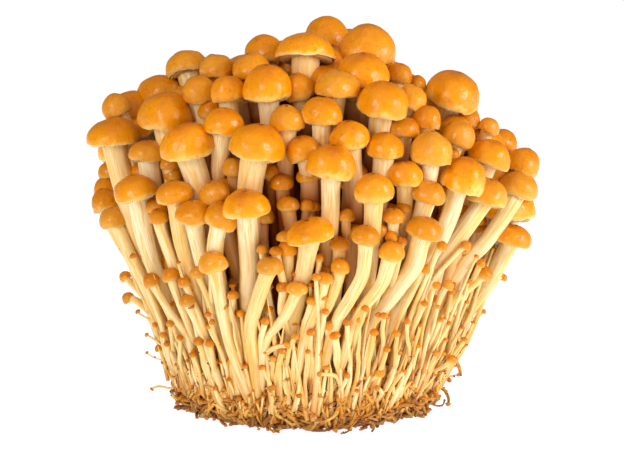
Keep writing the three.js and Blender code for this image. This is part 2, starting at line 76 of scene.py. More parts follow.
# Proportions of one mushroom
STEM_SHARE = 0.45  # stem thickness over cap width, in a large mushroom
SMALL_STEM_SHARE = 0.6  # the same in a small one
FOOT_TAPER = 0.55  # stem thickness at the foot over that at the cap
OUTWARD_NOD = 0.24  # how far the outermost caps lean out, as a slope
STEM_RISE = 0.32  # how far a stem rises before it turns outward, as a share of its span
STEM_FLARE = 0.34  # how far it has come outward by then
STEM_SQUARE = 0.3  # the length over which it turns square to its cap
STEM_END = 0.2  # where a stem ends inside its cap, as a share of the cap's height
SMALLEST = 2.8  # front mushrooms with caps up to this radius, in millimetres, are in no solid
OWN_BODY = 10.8  # a cap at least this wide is a large one
CLUMPS = 11  # the stems rise from this many clumps round the root mat
CLUMPED = 0.55  # how far a foot is drawn to the middle of its clump, as a share
LARGE_FOOT = 0.9  # how far out the feet of the large front stems stand, as a share of the bunch's reach
SMALL_FOOT = 0.99  # the same for the small ones
DIVE = 0.6  # how much further a front stem's butt goes on, as a share of its last stretch
SUNK_BUTT = 0.18  # how much deeper in the bunch it ends, as a share of how far forward its foot stands
PAINTED_SHADE_FROM = 6.5  # how deep in the bunch a stem is before it turns browner and darker, in millimetres: partly moister flesh, partly painted shade
PAINTED_SHADE_OVER = 13  # over how much more depth it does, to full browning and painted shade

# The viewpoint from which the front caps are set out on a front view of 624 by 460 picture points
ACROSS = 312
DOWN = 230
POINTS = 1944  # picture points across something as wide as it is far away
DISTANCE = 700  # from the viewer to the middle of the bunch, in millimetres
PITCH = math.pi / 18  # how far the viewer looks down
VIEW_HEIGHT = 62.9  # the height on the axis that the viewer looks at

# Front mushrooms: [across, down, wide, tall] is the box around the cap on the front view, by its
# middle and its size in picture points. Then come how far the cap stands behind the front of the
# bunch in millimetres, and its own lean to the right in degrees.
FRONT = [
    # Crown, from left to right
    [188, 63, 43, 28, 4, -9], [217, 66, 35, 25, 2, 0], [252, 66, 40, 26, 3, -10], [265, 48, 41, 28, 8, 0],
    [306, 50, 60, 34, 0, 4], [326, 33, 46, 34, 6, 0], [367, 45, 56, 40, 0, 5], [398, 72, 26, 22, 6, 10],
    [417, 82, 18, 14, 10, 0], [450, 89, 57, 40, 0, 8], [467, 117, 24, 18, 8, 10],
    [487, 125, 22, 18, -8, 10],
    # Second row
    [160, 87, 44, 24, 5, 0], [119, 101, 30, 29, -10, -12], [135, 104, 42, 34, 3, -12],
    [166, 110, 57, 41, 0, 8], [200, 89, 35, 27, 3, 0], [228, 89, 35, 28, 0, 5], [268, 84, 50, 39, 0, 0],
    [300, 83, 34, 34, 6, -15], [337, 84, 47, 30, 2, 5], [362, 70, 54, 35, 3, 0], [382, 100, 54, 39, 0, 5],
    [409, 95, 33, 31, 4, 10], [426, 117, 30, 25, 4, 0], [456, 128, 33, 37, 3, 15],
    [478, 133, 16, 16, 10, 0], [500, 138, 32, 20, 4, 15],
    # Third row
    [114, 132, 56, 31, -16, 8], [148, 151, 38, 23, 6, 8], [188, 141, 55, 38, 0, -6],
    [210, 108, 24, 20, 12, 0], [223, 122, 41, 30, 2, 12], [256, 143, 57, 40, 0, 14],
    [287, 119, 36, 28, 4, 0], [322, 111, 40, 31, 2, 0], [350, 136, 41, 31, 3, -8],
    [305, 148, 35, 26, 8, -20], [331, 162, 49, 36, 0, 4], [384, 146, 39, 28, 3, 0],
    [403, 127, 33, 23, 5, 0], [431, 148, 44, 37, 0, -5], [461, 174, 47, 38, 0, 8], [488, 153, 43, 30, 0, 6],
    [522, 160, 36, 26, -12, 10], [452, 152, 14, 14, 8, 0],
    # Fourth row, and the caps that show behind it
    [110, 168, 22, 20, 16, 0], [107, 186, 26, 20, 14, 0], [106, 198, 30, 24, 6, -6],
    [136, 188, 46, 29, 0, 0], [175, 192, 37, 25, 2, 0], [142, 170, 22, 16, 16, 0],
    [170, 163, 20, 14, 12, 10], [174, 173, 20, 16, 16, 0], [234, 165, 24, 23, 12, 0],
    [224, 184, 20, 20, 14, 0], [216, 192, 32, 23, 8, -15], [246, 204, 49, 31, 0, 2],
    [272, 170, 20, 20, 14, 0], [282, 182, 24, 17, 14, 0], [308, 175, 24, 16, 14, 0],
    [288, 204, 23, 16, 12, 0], [307, 205, 15, 12, 14, 0], [349, 183, 20, 16, 14, 0],
    [358, 172, 20, 16, 14, 0], [346, 215, 18, 14, 10, 0], [374, 188, 40, 31, 0, -5],
    [405, 174, 36, 27, 4, -5], [427, 192, 36, 25, 3, 5], [486, 192, 42, 29, 2, 3],
    [517, 184, 41, 28, -14, 2], [498, 174, 22, 16, 10, 0],
    # Fifth row
    [114, 217, 28, 22, -16, 0], [159, 216, 21, 16, 6, 0], [157, 205, 22, 16, 12, 0],
    [193, 213, 35, 26, 2, 5], [220, 215, 34, 28, 4, 20], [311, 232, 48, 28, 0, -14],
    [288, 248, 21, 16, 8, 0], [339, 244, 20, 15, 8, 0], [365, 235, 29, 21, 0, 2], [379, 228, 15, 15, 7, 15],
    [393, 216, 23, 16, 5, 0], [403, 207, 16, 12, 9, 0], [391, 236, 13, 11, 5, 0], [401, 240, 12, 12, 5, 0],
    [424, 228, 38, 24, 0, 4], [512, 235, 37, 22, -18, 0], [391, 251, 27, 21, 0, 5],
    # Small mushrooms in front of the stems
    [214, 262, 30, 23, 0, -6], [270, 266, 27, 19, 0, 4], [153, 279, 18, 15, 0, -16],
    [172, 274, 18, 15, 3, -12], [185, 281, 14, 12, 3, -10], [198, 272, 15, 13, 4, 0],
    [188, 300, 17, 13, 0, -15], [127, 274, 13, 12, 2, -25], [130, 295, 13, 12, 0, -30],
    [233, 295, 13, 9, 2, 0], [241, 313, 9, 7, 2, 0], [269, 308, 9, 9, 4, 0], [297, 288, 22, 14, 0, 6],
    [283, 286, 14, 11, 3, 0], [312, 300, 12, 10, 1, 10], [340, 266, 20, 17, 3, 5], [325, 278, 18, 13, 1, 5],
    [262, 248, 11, 12, 5, 0], [276, 251, 14, 9, 4, 0], [319, 256, 10, 12, 6, 0], [441, 245, 12, 11, 2, 20],
    [465, 244, 11, 10, 5, 20], [424, 267, 11, 12, 3, 20], [483, 272, 17, 14, 0, 20],
    [480, 262, 10, 9, 3, 15], [502, 274, 9, 12, 5, 20], [436, 284, 9, 9, 1, 15], [447, 284, 12, 10, 1, 20],
]

# The way down of the stems that show in front: for the cap whose box has this middle, places down
# its stem as [across, down] on the front view, the last one at its foot
WAYS = {
    # Large mushrooms
    (114, 217): [(120, 232), (130, 256), (143, 280), (160, 318)],
    (136, 188): [(139, 205), (144, 232), (152, 262), (168, 300), (184, 335)],
    (175, 192): [(177, 208), (181, 235), (188, 262), (200, 300), (212, 340)],
    (193, 213): [(195, 228), (199, 250), (206, 280), (216, 320)],
    (246, 204): [(247, 225), (249, 260), (248, 300), (248, 335)],
    (311, 232): [(308, 250), (302, 280), (295, 310), (288, 345)],
    (365, 235): [(365, 252), (362, 276), (350, 298), (335, 325), (325, 360)],
    (391, 251): [(388, 264), (381, 284), (364, 306), (350, 330), (342, 362)],
    (424, 228): [(419, 246), (414, 264), (402, 282), (384, 306), (364, 330), (354, 352)],
    (461, 174): [(456, 194), (452, 210), (446, 226), (440, 240), (426, 262), (408, 290), (388, 326)],
    (486, 192): [(480, 207), (469, 222), (456, 240), (445, 255), (434, 272), (423, 292), (408, 322),
                 (396, 352)],
    (517, 184): [(512, 202), (500, 222), (484, 244), (469, 259), (456, 275), (444, 292), (430, 318),
                 (418, 350)],
    (512, 235): [(507, 248), (497, 266), (488, 284), (472, 306), (456, 330), (444, 356)],
    # Small mushrooms, from left to right
    (127, 274): [(132, 284), (144, 298), (158, 324)],
    (130, 295): [(136, 301), (152, 315), (170, 335), (180, 365)],
    (153, 279): [(158, 292), (170, 312), (186, 334), (198, 368)],
    (172, 274): [(173, 284), (180, 304), (190, 330)],
    (185, 281): [(188, 290), (196, 308), (206, 332)],
    (198, 272): [(202, 284), (212, 308), (222, 340), (232, 385)],
    (188, 300): [(192, 312), (202, 333), (212, 360), (222, 390)],
    (214, 262): [(218, 285), (224, 318), (233, 352), (248, 391)],
    (233, 295): [(232, 304), (229, 330), (233, 362), (240, 395)],
    (241, 313): [(242, 322), (244, 340), (248, 366)],
    (269, 308): [(266, 320), (261, 345), (262, 375)],
    (270, 266): [(265, 280), (256, 306), (251, 330), (254, 362), (258, 392)],
    (297, 288): [(294, 298), (284, 318), (268, 336), (264, 356), (262, 385)],
    (312, 300): [(309, 310), (303, 326), (299, 352), (297, 380)],
    (325, 278): [(322, 292), (314, 318), (305, 340), (298, 372)],
    (340, 266): [(337, 282), (328, 305), (318, 322), (315, 348), (312, 372)],
    (424, 267): [(420, 275), (411, 296), (400, 316), (390, 342)],
    (436, 284): [(433, 290), (429, 306), (423, 328), (420, 352)],
    (447, 284): [(443, 291), (436, 308), (429, 330), (423, 358)],
    (441, 245): [(437, 252), (433, 262), (424, 282), (414, 306), (406, 330)],
    (465, 244): [(458, 252), (446, 265), (436, 276), (422, 298), (408, 322), (398, 350)],
    (483, 272): [(478, 280), (464, 293), (448, 308), (436, 327), (428, 350), (424, 372)],
    (502, 274): [(496, 279), (478, 300), (464, 325)],
}

# Caps that are tipped back so far that their gills show, by the middle of their box, in degrees
TIPPED = {(306, 50): 24, (188, 63): 20}

# Pinheads in front: [across, down, wide] of the head, and [across, down] halfway down and at the foot
FRONT_PINS = [
    [155, 325, 6, 159, 345, 168, 380], [163, 335, 7, 168, 352, 176, 385], [167, 344, 7, 171, 362, 180, 388],
    [170, 324, 8, 172, 342, 178, 372], [180, 338, 7, 181, 358, 190, 392], [193, 355, 8, 200, 375, 208, 398],
    [199, 342, 11, 205, 362, 212, 390], [208, 315, 7, 214, 332, 222, 362],
    [210, 344, 10, 214, 366, 219, 394], [209, 327, 6, 216, 342, 226, 368],
    [187, 361, 4, 190, 372, 196, 392], [221, 363, 4, 225, 378, 230, 398], [245, 367, 6, 250, 385, 256, 406],
    [239, 399, 6, 240, 406, 243, 416], [265, 322, 9, 260, 345, 263, 399], [273, 359, 7, 272, 372, 270, 394],
    [282, 351, 9, 279, 374, 278, 402], [287, 345, 8, 269, 351, 263, 372], [295, 337, 8, 289, 352, 285, 380],
    [272, 388, 8, 274, 400, 279, 419], [311, 333, 9, 311, 358, 320, 406], [325, 312, 8, 321, 336, 315, 367],
    [335, 336, 11, 337, 358, 341, 386], [320, 374, 6, 334, 377, 342, 390],
    [347, 376, 7, 343, 386, 337, 398], [347, 323, 8, 347, 347, 350, 374], [365, 309, 8, 357, 331, 353, 352],
    [374, 333, 9, 369, 360, 367, 382], [384, 316, 8, 382, 340, 380, 372], [387, 350, 7, 382, 367, 371, 388],
    [397, 334, 8, 396, 354, 394, 378], [407, 322, 7, 408, 342, 410, 366], [424, 304, 8, 416, 320, 410, 345],
    [420, 326, 5, 415, 346, 411, 370], [419, 346, 5, 416, 360, 412, 380], [438, 307, 5, 433, 325, 428, 348],
    [440, 320, 6, 434, 334, 428, 352], [449, 324, 6, 438, 343, 431, 360], [436, 354, 8, 431, 366, 426, 382],
    [446, 340, 5, 438, 356, 431, 372], [462, 328, 5, 452, 344, 442, 362], [464, 340, 7, 453, 356, 443, 370],
    [215, 389, 5, 220, 395, 226, 404], [257, 402, 5, 259, 410, 262, 421], [299, 396, 6, 296, 404, 292, 416],
    [357, 391, 5, 355, 402, 352, 414], [229, 380, 5, 233, 390, 238, 404], [308, 352, 6, 307, 372, 305, 398],
    [249, 396, 4, 250, 408, 252, 422], [243, 402, 4, 245, 413, 248, 425], [263, 397, 4, 262, 411, 262, 426],
    [253, 391, 3, 254, 405, 255, 424],
]

# Sides and back, which grow by rule
SEED = 7
GOLDEN_ANGLE = 2.399963
REST_PLACES = 104  # places tried from the crown down to the sides
REST_LOWEST = 0.42  # how far below the shoulder they go, as a share
REST_REACH = 0.97  # how far they stand out, as a share of the reach of the front
LOW_REACH = 1.04  # the same below the shoulder
REST_FROM = -34  # front edge of these places at the crown, in millimetres
SIDE_FROM = -14  # the same at the sides
LOW_FROM = 18  # the same below the shoulder
REST_WIDTHS = [22 - 0.4 * i for i in range(31)]  # cap widths, the widest first
LOW_WIDTHS = [0.55 * width for width in REST_WIDTHS]  # the same, below the shoulder
CROWN_PLACES = 22  # places tried in the gaps behind the front of the crown
CROWN_RADIUS = 38
CROWN_FRONT = -6  # the middle of these places, front to back
CROWN_SUNK = 10  # how far they stand under the top of the dome
CROWN_WIDTHS = [width for width in REST_WIDTHS if width > 12]
HIDING_WIDE = 0.48  # a front cap hides what is behind it within this share of its width
HIDING_TALL = 0.3  # and under this share of its height above its middle
PRESS = 0.8  # caps press into each other until this share of each is clear
TOUCH = 0.9  # caps that are in each other at this share of their size have grown together
STEP = 0.5  # how far a cap moves at a time to find its place, in millimetres
LEAN_BACK = 9  # how far a free cap is set back to lean on another, in millimetres
PIN_ROOM = 1.3  # the small mushrooms round the foot keep clear of caps grown to this share
PIN_COUNT = 11  # how many of them are tried
PIN_WIDTH = (2.6, 4.2)
PIN_HEIGHT = (20, 46)

UP = np.array([0.0, 0.0, 1.0])
LINE_OF_SIGHT = np.array([0, math.cos(PITCH), -math.sin(PITCH)])
PICTURE_UP = np.array([0, math.sin(PITCH), math.cos(PITCH)])
EYE = np.array([0, 0, VIEW_HEIGHT]) - DISTANCE * LINE_OF_SIGHT


class Draws:
    """The seeded random numbers that the solids of the bunch are drawn with."""

    def __init__(self, seed):
        self.state = seed

    def __call__(self, low=0.0, high=1.0):
        self.state = (self.state * 1664525 + 1013904223) % 4294967296
        return low + ((high - low) * self.state) / 4294967296


def unit(v):
    return v / math.sqrt(v @ v)


def cross(a, b):
    return np.array([a[1] * b[2] - a[2] * b[1], a[2] * b[0] - a[0] * b[2], a[0] * b[1] - a[1] * b[0]])


@dataclass
class Cap:
    """A mushroom's cap: its rim's middle, its radius, its height, and the axis that it sits square to."""

    rim: np.ndarray
    radius: float
    height: float
    axis: np.ndarray
    index: int = 0
    seen: tuple = ()  # the middle of its box on the front view, for a front cap
    across: np.ndarray = field(init=False)
    side: np.ndarray = field(init=False)

    def __post_init__(self):
        self.across = unit(cross((0, 1, 0), self.axis))
        self.side = cross(self.axis, self.across)


def seen_at(across, down, y):
    """The point at depth y that the viewer sees at a place on the front view."""
    ray = LINE_OF_SIGHT + np.array([(across - ACROSS) / POINTS, 0, 0]) + PICTURE_UP * ((DOWN - down) / POINTS)
    return EYE + ray * ((y - EYE[1]) / ray[1])


def reach(z):
    """How far out the bunch reaches at a height, as a share of its shoulder."""
    root_share = ROOT_RADIUS / SHOULDER_RADIUS
    if z < SHOULDER_HEIGHT:
        return root_share + (1 - root_share) * max(0, z) / SHOULDER_HEIGHT
    return math.sqrt(max(0, 1 - ((z - SHOULDER_HEIGHT) / DOME_RISE) ** 2))


def front_depth(x, z):
    """Depth of the front of the bunch at a place left or right and a height."""
    return -SHOULDER_DEPTH * math.sqrt(max(0, reach(z) ** 2 - (x / SHOULDER_RADIUS) ** 2))


def on_front(across, down, share=1.0):
    """The point on the front of the bunch, or a share of the way out to it, at a place on the front view."""
    y = -ROOT_RADIUS
    for _ in range(8):
        p = seen_at(across, down, y)
        y = share * front_depth(p[0] / share, p[2])
    return seen_at(across, down, y)


def cap_axis(x, y, lean):
    """A cap leans out from the middle of the bunch, and by its own lean to the right."""
    out = unit(np.array([(x / SHOULDER_RADIUS) * OUTWARD_NOD, (y / SHOULDER_DEPTH) * OUTWARD_NOD, 1.0]))
    c, s = math.cos(math.radians(lean)), math.sin(math.radians(lean))
    return np.array([c * out[0] + s * out[2], out[1], c * out[2] - s * out[0]])


def front_cap(row, y):
    """A front cap at a depth, from the box that it fills on the front view."""
    across, down, wide, tall, _, lean = row
    middle = seen_at(across, down, y)
    point = (middle - EYE) @ LINE_OF_SIGHT / POINTS
    radius = wide * point / 2
    axis = cap_axis(middle[0], y, lean)
    tipped = min(0.6, max(0.1, math.asin(-(axis @ LINE_OF_SIGHT))))
    front = radius * math.sin(tipped)
    crown = max(tall * point - front, front)
    height = math.sqrt(max(0, crown**2 - front**2)) / math.cos(tipped)
    rim = middle + PICTURE_UP * (front - tall * point / 2)
    return Cap(rim, radius, min(1.35 * radius, max(0.75 * radius, height)), axis, seen=(across, down))


def skin_table():
    """Places on the skin of a cap of radius and height 1."""
    places = []
    for r, h, count in ((1, 0, 12), (0.87, 0.5, 9), (0.6, 0.8, 6), (0, 1, 1)):
        for i in range(count):
            angle = 2 * math.pi * i / count
            places.append((r * math.cos(angle), r * math.sin(angle), h))
    return np.array(places)


SKIN = skin_table()


def skin_points(cap, share):
    frame_of_cap = np.array([cap.across * cap.radius, cap.side * cap.radius, cap.axis * cap.height])
    return cap.rim + share * SKIN @ frame_of_cap


def holds(cap, points, share):
    start = points - cap.rim
    h = start @ cap.axis
    out = (start * start).sum(1) - h * h
    inside = out / (cap.radius * share) ** 2 + (h / (cap.height * share)) ** 2 < 1
    return bool((inside & (h >= -0.06 * cap.height)).any())


def pressed(a, b, share):
    """Whether two caps, each shrunk to a share of its size, are in each other."""
    apart = a.rim - b.rim
    if apart @ apart > (1.4 * (a.radius + b.radius)) ** 2:
        return False
    return holds(b, skin_points(a, share), share) or holds(a, skin_points(b, share), share)


def place_front():
    """Front caps are set back along the line of sight until they clear those in front of them."""
    caps = []
    for row in sorted(FRONT, key=lambda row: 10 * row[4] - row[1]):
        y = 0
        for _ in range(6):
            p = seen_at(row[0], row[1], y)
            y = front_depth(p[0], p[2])
        y += row[4]
        cap = front_cap(row, y)
        while any(pressed(c, cap, PRESS) for c in caps):
            y += STEP
            cap = front_cap(row, y)
        leaning = cap
        back = 0
        while back < LEAN_BACK and not any(pressed(c, leaning, TOUCH) for c in caps):
            leaning = front_cap(row, y + back)
            back += STEP
        touching = any(pressed(c, leaning, TOUCH) for c in caps)
        rests = touching and not any(pressed(c, leaning, PRESS) for c in caps)
        caps.append(leaning if rests else cap)
    return caps


def hidden(p):
    """Whether the front caps, or what is below them, hide a point from the viewer."""
    start = p - EYE
    point = start @ LINE_OF_SIGHT / POINTS
    a = ACROSS + start[0] / point
    d = DOWN - start @ PICTURE_UP / point
    return any(abs(a - row[0]) < HIDING_WIDE * row[2] and d > row[1] - HIDING_TALL * row[3] for row in FRONT)


def place_rest(front, random):
    """The rest fills up like a sunflower head. Each place is sunk until the front caps hide it, and
    takes the widest cap that has room there."""
    caps = list(front)

    def grow_cap(x, y, z, widths):
        rim = np.array([x, y, z])
        share = random(0.95, 1.25)
        axis = cap_axis(x, y, random(-8, 8))
        widest = Cap(rim, widths[0] / 2, share * widths[0] / 2, axis)
        while rim[2] > SHOULDER_HEIGHT and not all(hidden(p) for p in skin_points(widest, 1)[-7:]):
            rim[2] -= STEP
        near = [c for c in caps if np.linalg.norm(c.rim - rim) < 1.4 * (c.radius + widths[0] / 2)]
        for width in widths:
            cap = Cap(rim, width / 2, share * width / 2, axis)
            if not any(pressed(c, cap, PRESS) for c in near):
                caps.append(cap)
                return

    for i in range(REST_PLACES):
        fall = math.acos(1 - (1 + REST_LOWEST) * (i + 0.5) / REST_PLACES)
        turn = i * GOLDEN_ANGLE
        above = fall < math.pi / 2
        z = SHOULDER_HEIGHT + math.cos(fall) * (DOME_RISE * REST_REACH if above else SHOULDER_HEIGHT)
        out = REST_REACH * math.sin(fall) if above else LOW_REACH * reach(z)
        x = SHOULDER_RADIUS * out * math.cos(turn)
        y = SHOULDER_DEPTH * out * math.sin(turn)
        if y >= (min(REST_FROM * math.cos(fall), SIDE_FROM) if above else LOW_FROM):
            grow_cap(x, y, z + 0.35 * min(y, 0), REST_WIDTHS if above else LOW_WIDTHS)
    for i in range(CROWN_PLACES):
        out = CROWN_RADIUS * math.sqrt((i + 0.5) / CROWN_PLACES)
        turn = i * GOLDEN_ANGLE + math.pi
        high = SHOULDER_HEIGHT + DOME_RISE - CROWN_SUNK - out / 3
        grow_cap(out * math.cos(turn), CROWN_FRONT + out * math.sin(turn), high, CROWN_WIDTHS)
    return caps[len(front):]


def place_pins(others, random):
    """Small mushrooms all round the lower stems."""
    caps = []
    for i in range(PIN_COUNT):
        turn = (i * GOLDEN_ANGLE) % (2 * math.pi)
        z = random(*PIN_HEIGHT)
        radius = random(*PIN_WIDTH) / 2
        out = reach(z) * random(0.98, 1.06)
        c, s = math.cos(turn), math.sin(turn)
        rim = np.array([SHOULDER_RADIUS * out * c, SHOULDER_DEPTH * out * s, z])
        cap = Cap(rim, radius, radius * 1.3, unit(np.array([0.7 * c, 0.7 * s, 1.0])))
        if not any(pressed(c, cap, PIN_ROOM) for c in others + caps):
            caps.append(cap)
    return caps


def place_mushrooms():
    random = Draws(SEED)
    seen = place_front()
    front = [cap for cap in seen if cap.radius > SMALLEST]
    mushrooms = front + place_rest(front, random)
    mushrooms += place_pins(mushrooms, random)
    mushrooms += [cap for cap in seen if cap.radius <= SMALLEST]
    for i, cap in enumerate(mushrooms):
        cap.index = i
        if cap.seen in TIPPED:
            back = math.radians(TIPPED[cap.seen])
            c, s = math.cos(back), math.sin(back)
            x, y, z = cap.axis
            cap.axis = np.array([x, c * y + s * z, c * z - s * y])
    return mushrooms


def colour(code):
    """A hex sRGB colour as linear numbers."""
    parts = [int(code[i:i + 2], 16) / 255 for i in (1, 3, 5)]
    return [c / 12.92 if c <= 0.04045 else ((c + 0.055) / 1.055) ** 2.4 for c in parts] + [1.0]


def add(tree, kind, inputs=None, stops=(), **settings):
    """Adds a node with its settings. inputs gives a value, or what is linked, by socket name or number,
    and stops gives the [where, hex colour] pairs of a colour ramp."""
    made = tree.nodes.new(kind)
    for name, value in settings.items():
        setattr(made, name, value)
    for key, value in (inputs or {}).items():
        if isinstance(value, bpy.types.Node):
            value = next(socket for socket in value.outputs if socket.enabled)
        if isinstance(value, bpy.types.NodeSocket):
            tree.links.new(value, made.inputs[key])
        else:
            made.inputs[key].default_value = value
    elements = made.color_ramp.elements if stops else ()
    while len(elements) < len(stops):
        elements.new(0.5)
    for element, (where, code) in zip(elements, stops):
        element.position = where
        element.color = colour(code)
    return made


# Meshes

def add_piece(name, points, faces, **attributes):
    """A mesh object from points in millimetres, with its attributes of one number or three a point."""
    mesh = bpy.data.meshes.new(name)
    lengths = {len(face) for face in faces}
    edges = faces if lengths == {2} else []
    mesh.from_pydata((np.asarray(points) * MM).tolist(), edges, [] if edges else faces)
    for key, values in attributes.items():
        values = np.asarray(values, np.float32)
        kind, slot = ("FLOAT", "value") if values.ndim == 1 else ("FLOAT_VECTOR", "vector")
        mesh.attributes.new(key, kind, "POINT").data.foreach_set(slot, values.ravel())
    piece = bpy.data.objects.new(name, mesh)
    bpy.context.scene.collection.objects.link(piece)
    return piece


def grow(piece, tree, material, **values):
    """Runs a Geometry Nodes tree on a piece, and keeps what it makes as the piece's plain mesh."""
    modifier = piece.modifiers.new(tree.name, "NODES")
    modifier.node_group = tree
    for item in tree.interface.items_tree:
        if item.in_out == "INPUT" and item.name in values:
            modifier[item.identifier] = values[item.name]
        if item.name == "Material":
            modifier[item.identifier] = material
    graph = bpy.context.evaluated_depsgraph_get()
    made = bpy.data.meshes.new_from_object(
        piece.evaluated_get(graph), preserve_all_data_layers=True, depsgraph=graph)
    piece.modifiers.remove(modifier)
    piece.data = made
    made.name = piece.name
    return piece


def smooth(piece, *materials):
    piece.data.shade_smooth()
    for material in materials:
        piece.data.materials.append(material)
    return piece


# Geometry Nodes trees, whose sizes are in metres

GROUND_GAP = 0.0001  # how far above the ground heads and crumbs stay
STEM_GAP = 0.0003  # the same for the skins of stems and threads
FOLDS = 420.0  # folds along a stem, to a metre of its girth: about 2.4 mm apart
FIBRES = 1500.0  # fibres, the same way: about 0.7 mm apart
FIBRE_STRETCH = 0.12  # how much more slowly both change along the stem than round it
HEAD_LUMPS = 0.0015  # how wide the lumps of a pinhead are
HEAD_SIZE = 0.002  # the size that a pinhead's unevenness is a share of
THREAD_POINTS = 9  # along a root thread
CRUMB_SHAPE = (1.4, 1.0, 0.8)
PER_M2 = 10000.0  # square centimetres in a square metre
UNLIKE = 40.0  # how far apart the patterns of two stems can lie


def new_tree(name, **inputs):
    """An empty tree with a geometry in and out, a material, and named inputs given as their defaults."""
    tree = bpy.data.node_groups.new(name, "GeometryNodeTree")
    tree.interface.new_socket("Geometry", in_out="INPUT", socket_type="NodeSocketGeometry")
    tree.interface.new_socket("Geometry", in_out="OUTPUT", socket_type="NodeSocketGeometry")
    for key, value in inputs.items():
        kind = "NodeSocketInt" if isinstance(value, int) else "NodeSocketFloat"
        tree.interface.new_socket(key, in_out="INPUT", socket_type=kind).default_value = value
    tree.interface.new_socket("Material", in_out="INPUT", socket_type="NodeSocketMaterial")
    return tree, add(tree, "NodeGroupInput").outputs


def end_tree(tree, geometry, given):
    """Ends a tree: smooth faces, real geometry and its material."""
    shaded = add(tree, "GeometryNodeSetShadeSmooth", {0: geometry})
    real = add(tree, "GeometryNodeRealizeInstances", {0: shaded})
    dressed = add(tree, "GeometryNodeSetMaterial", {"Geometry": real, "Material": given["Material"]})
    add(tree, "NodeGroupOutput", {0: dressed})
    return tree


def uneven(tree, size, own, amount):
    """An offset that changes smoothly over a size, and from one stem to the next."""
    per_size = add(tree, "ShaderNodeMath", {0: 1.0, 1: size}, operation="DIVIDE")
    place = add(tree, "GeometryNodeInputPosition")
    scaled = add(tree, "ShaderNodeVectorMath", {0: place, "Scale": per_size}, operation="SCALE")
    drift = add(tree, "ShaderNodeTexNoise", {"Vector": scaled, "W": own, "Scale": 1.0, "Detail": 1.0},
                noise_dimensions="4D").outputs[1]
    centred = add(tree, "ShaderNodeVectorMath", {0: drift, 1: (0.5, 0.5, 0.5)}, operation="SUBTRACT")
    both_ways = add(tree, "ShaderNodeMath", {0: amount, 1: 2.0}, operation="MULTIPLY")
    return add(tree, "ShaderNodeVectorMath", {0: centred, "Scale": both_ways}, operation="SCALE")


def above_ground(tree, geometry, clear):
    """Lifts what dips towards the ground until it is clear of it."""
    x, y, z = add(tree, "ShaderNodeSeparateXYZ", {0: add(tree, "GeometryNodeInputPosition")}).outputs
    height = add(tree, "ShaderNodeMath", {0: z, 1: clear}, operation="MAXIMUM")
    place = add(tree, "ShaderNodeCombineXYZ", {0: x, 1: y, 2: height})
    return add(tree, "GeometryNodeSetPosition", {"Geometry": geometry, "Position": place})


def line_above_ground(tree, line, thick):
    """Lifts a stem's line until the stem, and not only its line, is clear of the ground."""
    clear = add(tree, "ShaderNodeMath", {0: thick, 1: STEM_GAP}, operation="ADD")
    return above_ground(tree, line, clear)


def on_each_point(tree, made, given):
    """Puts what was made on each point of the piece, turned and sized by the point's attributes."""
    turn, size = (add(tree, "GeometryNodeInputNamedAttribute", {"Name": name}, data_type="FLOAT_VECTOR")
                  for name in ("turn", "size"))
    points = add(tree, "GeometryNodeMeshToPoints", {"Mesh": given["Geometry"]})
    return add(tree, "GeometryNodeInstanceOnPoints",
               {"Points": points, "Instance": made, "Rotation": turn, "Scale": size})


def swept(tree, curve, sides, fold, fibre_depth):
    """Sweeps curves into stems as thick as their attribute says, folded and fibrous along their length."""
    circle = add(tree, "GeometryNodeCurvePrimitiveCircle", {"Resolution": sides, "Radius": 1.0})
    marked = add(tree, "GeometryNodeStoreNamedAttribute",
                 {"Geometry": circle, "Name": "ring", "Value": add(tree, "GeometryNodeInputPosition")},
                 data_type="FLOAT_VECTOR")
    thick, run, own = (add(tree, "GeometryNodeInputNamedAttribute", {"Name": name})
                       for name in ("thick", "run", "own"))
    ring, fibre = (add(tree, "GeometryNodeInputNamedAttribute", {"Name": name}, data_type="FLOAT_VECTOR")
                   for name in ("ring", "fibre"))
    tube = add(tree, "GeometryNodeCurveToMesh",
               {"Curve": curve, "Profile Curve": marked, "Scale": thick, "Fill Caps": True})
    around = add(tree, "ShaderNodeVectorMath", {0: ring, "Scale": thick}, operation="SCALE")
    x, y, _ = add(tree, "ShaderNodeSeparateXYZ", {0: around}).outputs
    place = add(tree, "ShaderNodeCombineXYZ", {0: x, 1: y, 2: run})
    with_fibre = add(tree, "GeometryNodeStoreNamedAttribute",
                     {"Geometry": tube, "Name": "fibre", "Value": place}, data_type="FLOAT_VECTOR")
    bare = add(tree, "GeometryNodeRemoveAttribute", {"Geometry": with_fibre, "Name": "ring"})
    lengthwise = add(tree, "ShaderNodeVectorMath", {0: fibre, 1: (1.0, 1.0, FIBRE_STRETCH)},
                     operation="MULTIPLY")
    heights = []
    for to_a_metre, depth in ((FOLDS, fold), (FIBRES, fibre_depth)):
        wave = add(tree, "ShaderNodeTexNoise",
                   {"Vector": lengthwise, "W": own, "Scale": to_a_metre, "Detail": 0.0},
                   noise_dimensions="4D").outputs[0]
        centred = add(tree, "ShaderNodeMath", {0: wave, 1: 0.5}, operation="SUBTRACT")
        heights.append(add(tree, "ShaderNodeMath", {0: centred, 1: depth}, operation="MULTIPLY"))
    height = add(tree, "ShaderNodeMath", {0: heights[0], 1: heights[1]}, operation="ADD")
    normal = add(tree, "GeometryNodeInputNormal")
    outwards = add(tree, "ShaderNodeVectorMath", {0: normal, "Scale": height}, operation="SCALE")
    return add(tree, "GeometryNodeSetPosition", {"Geometry": bare, "Offset": outwards})


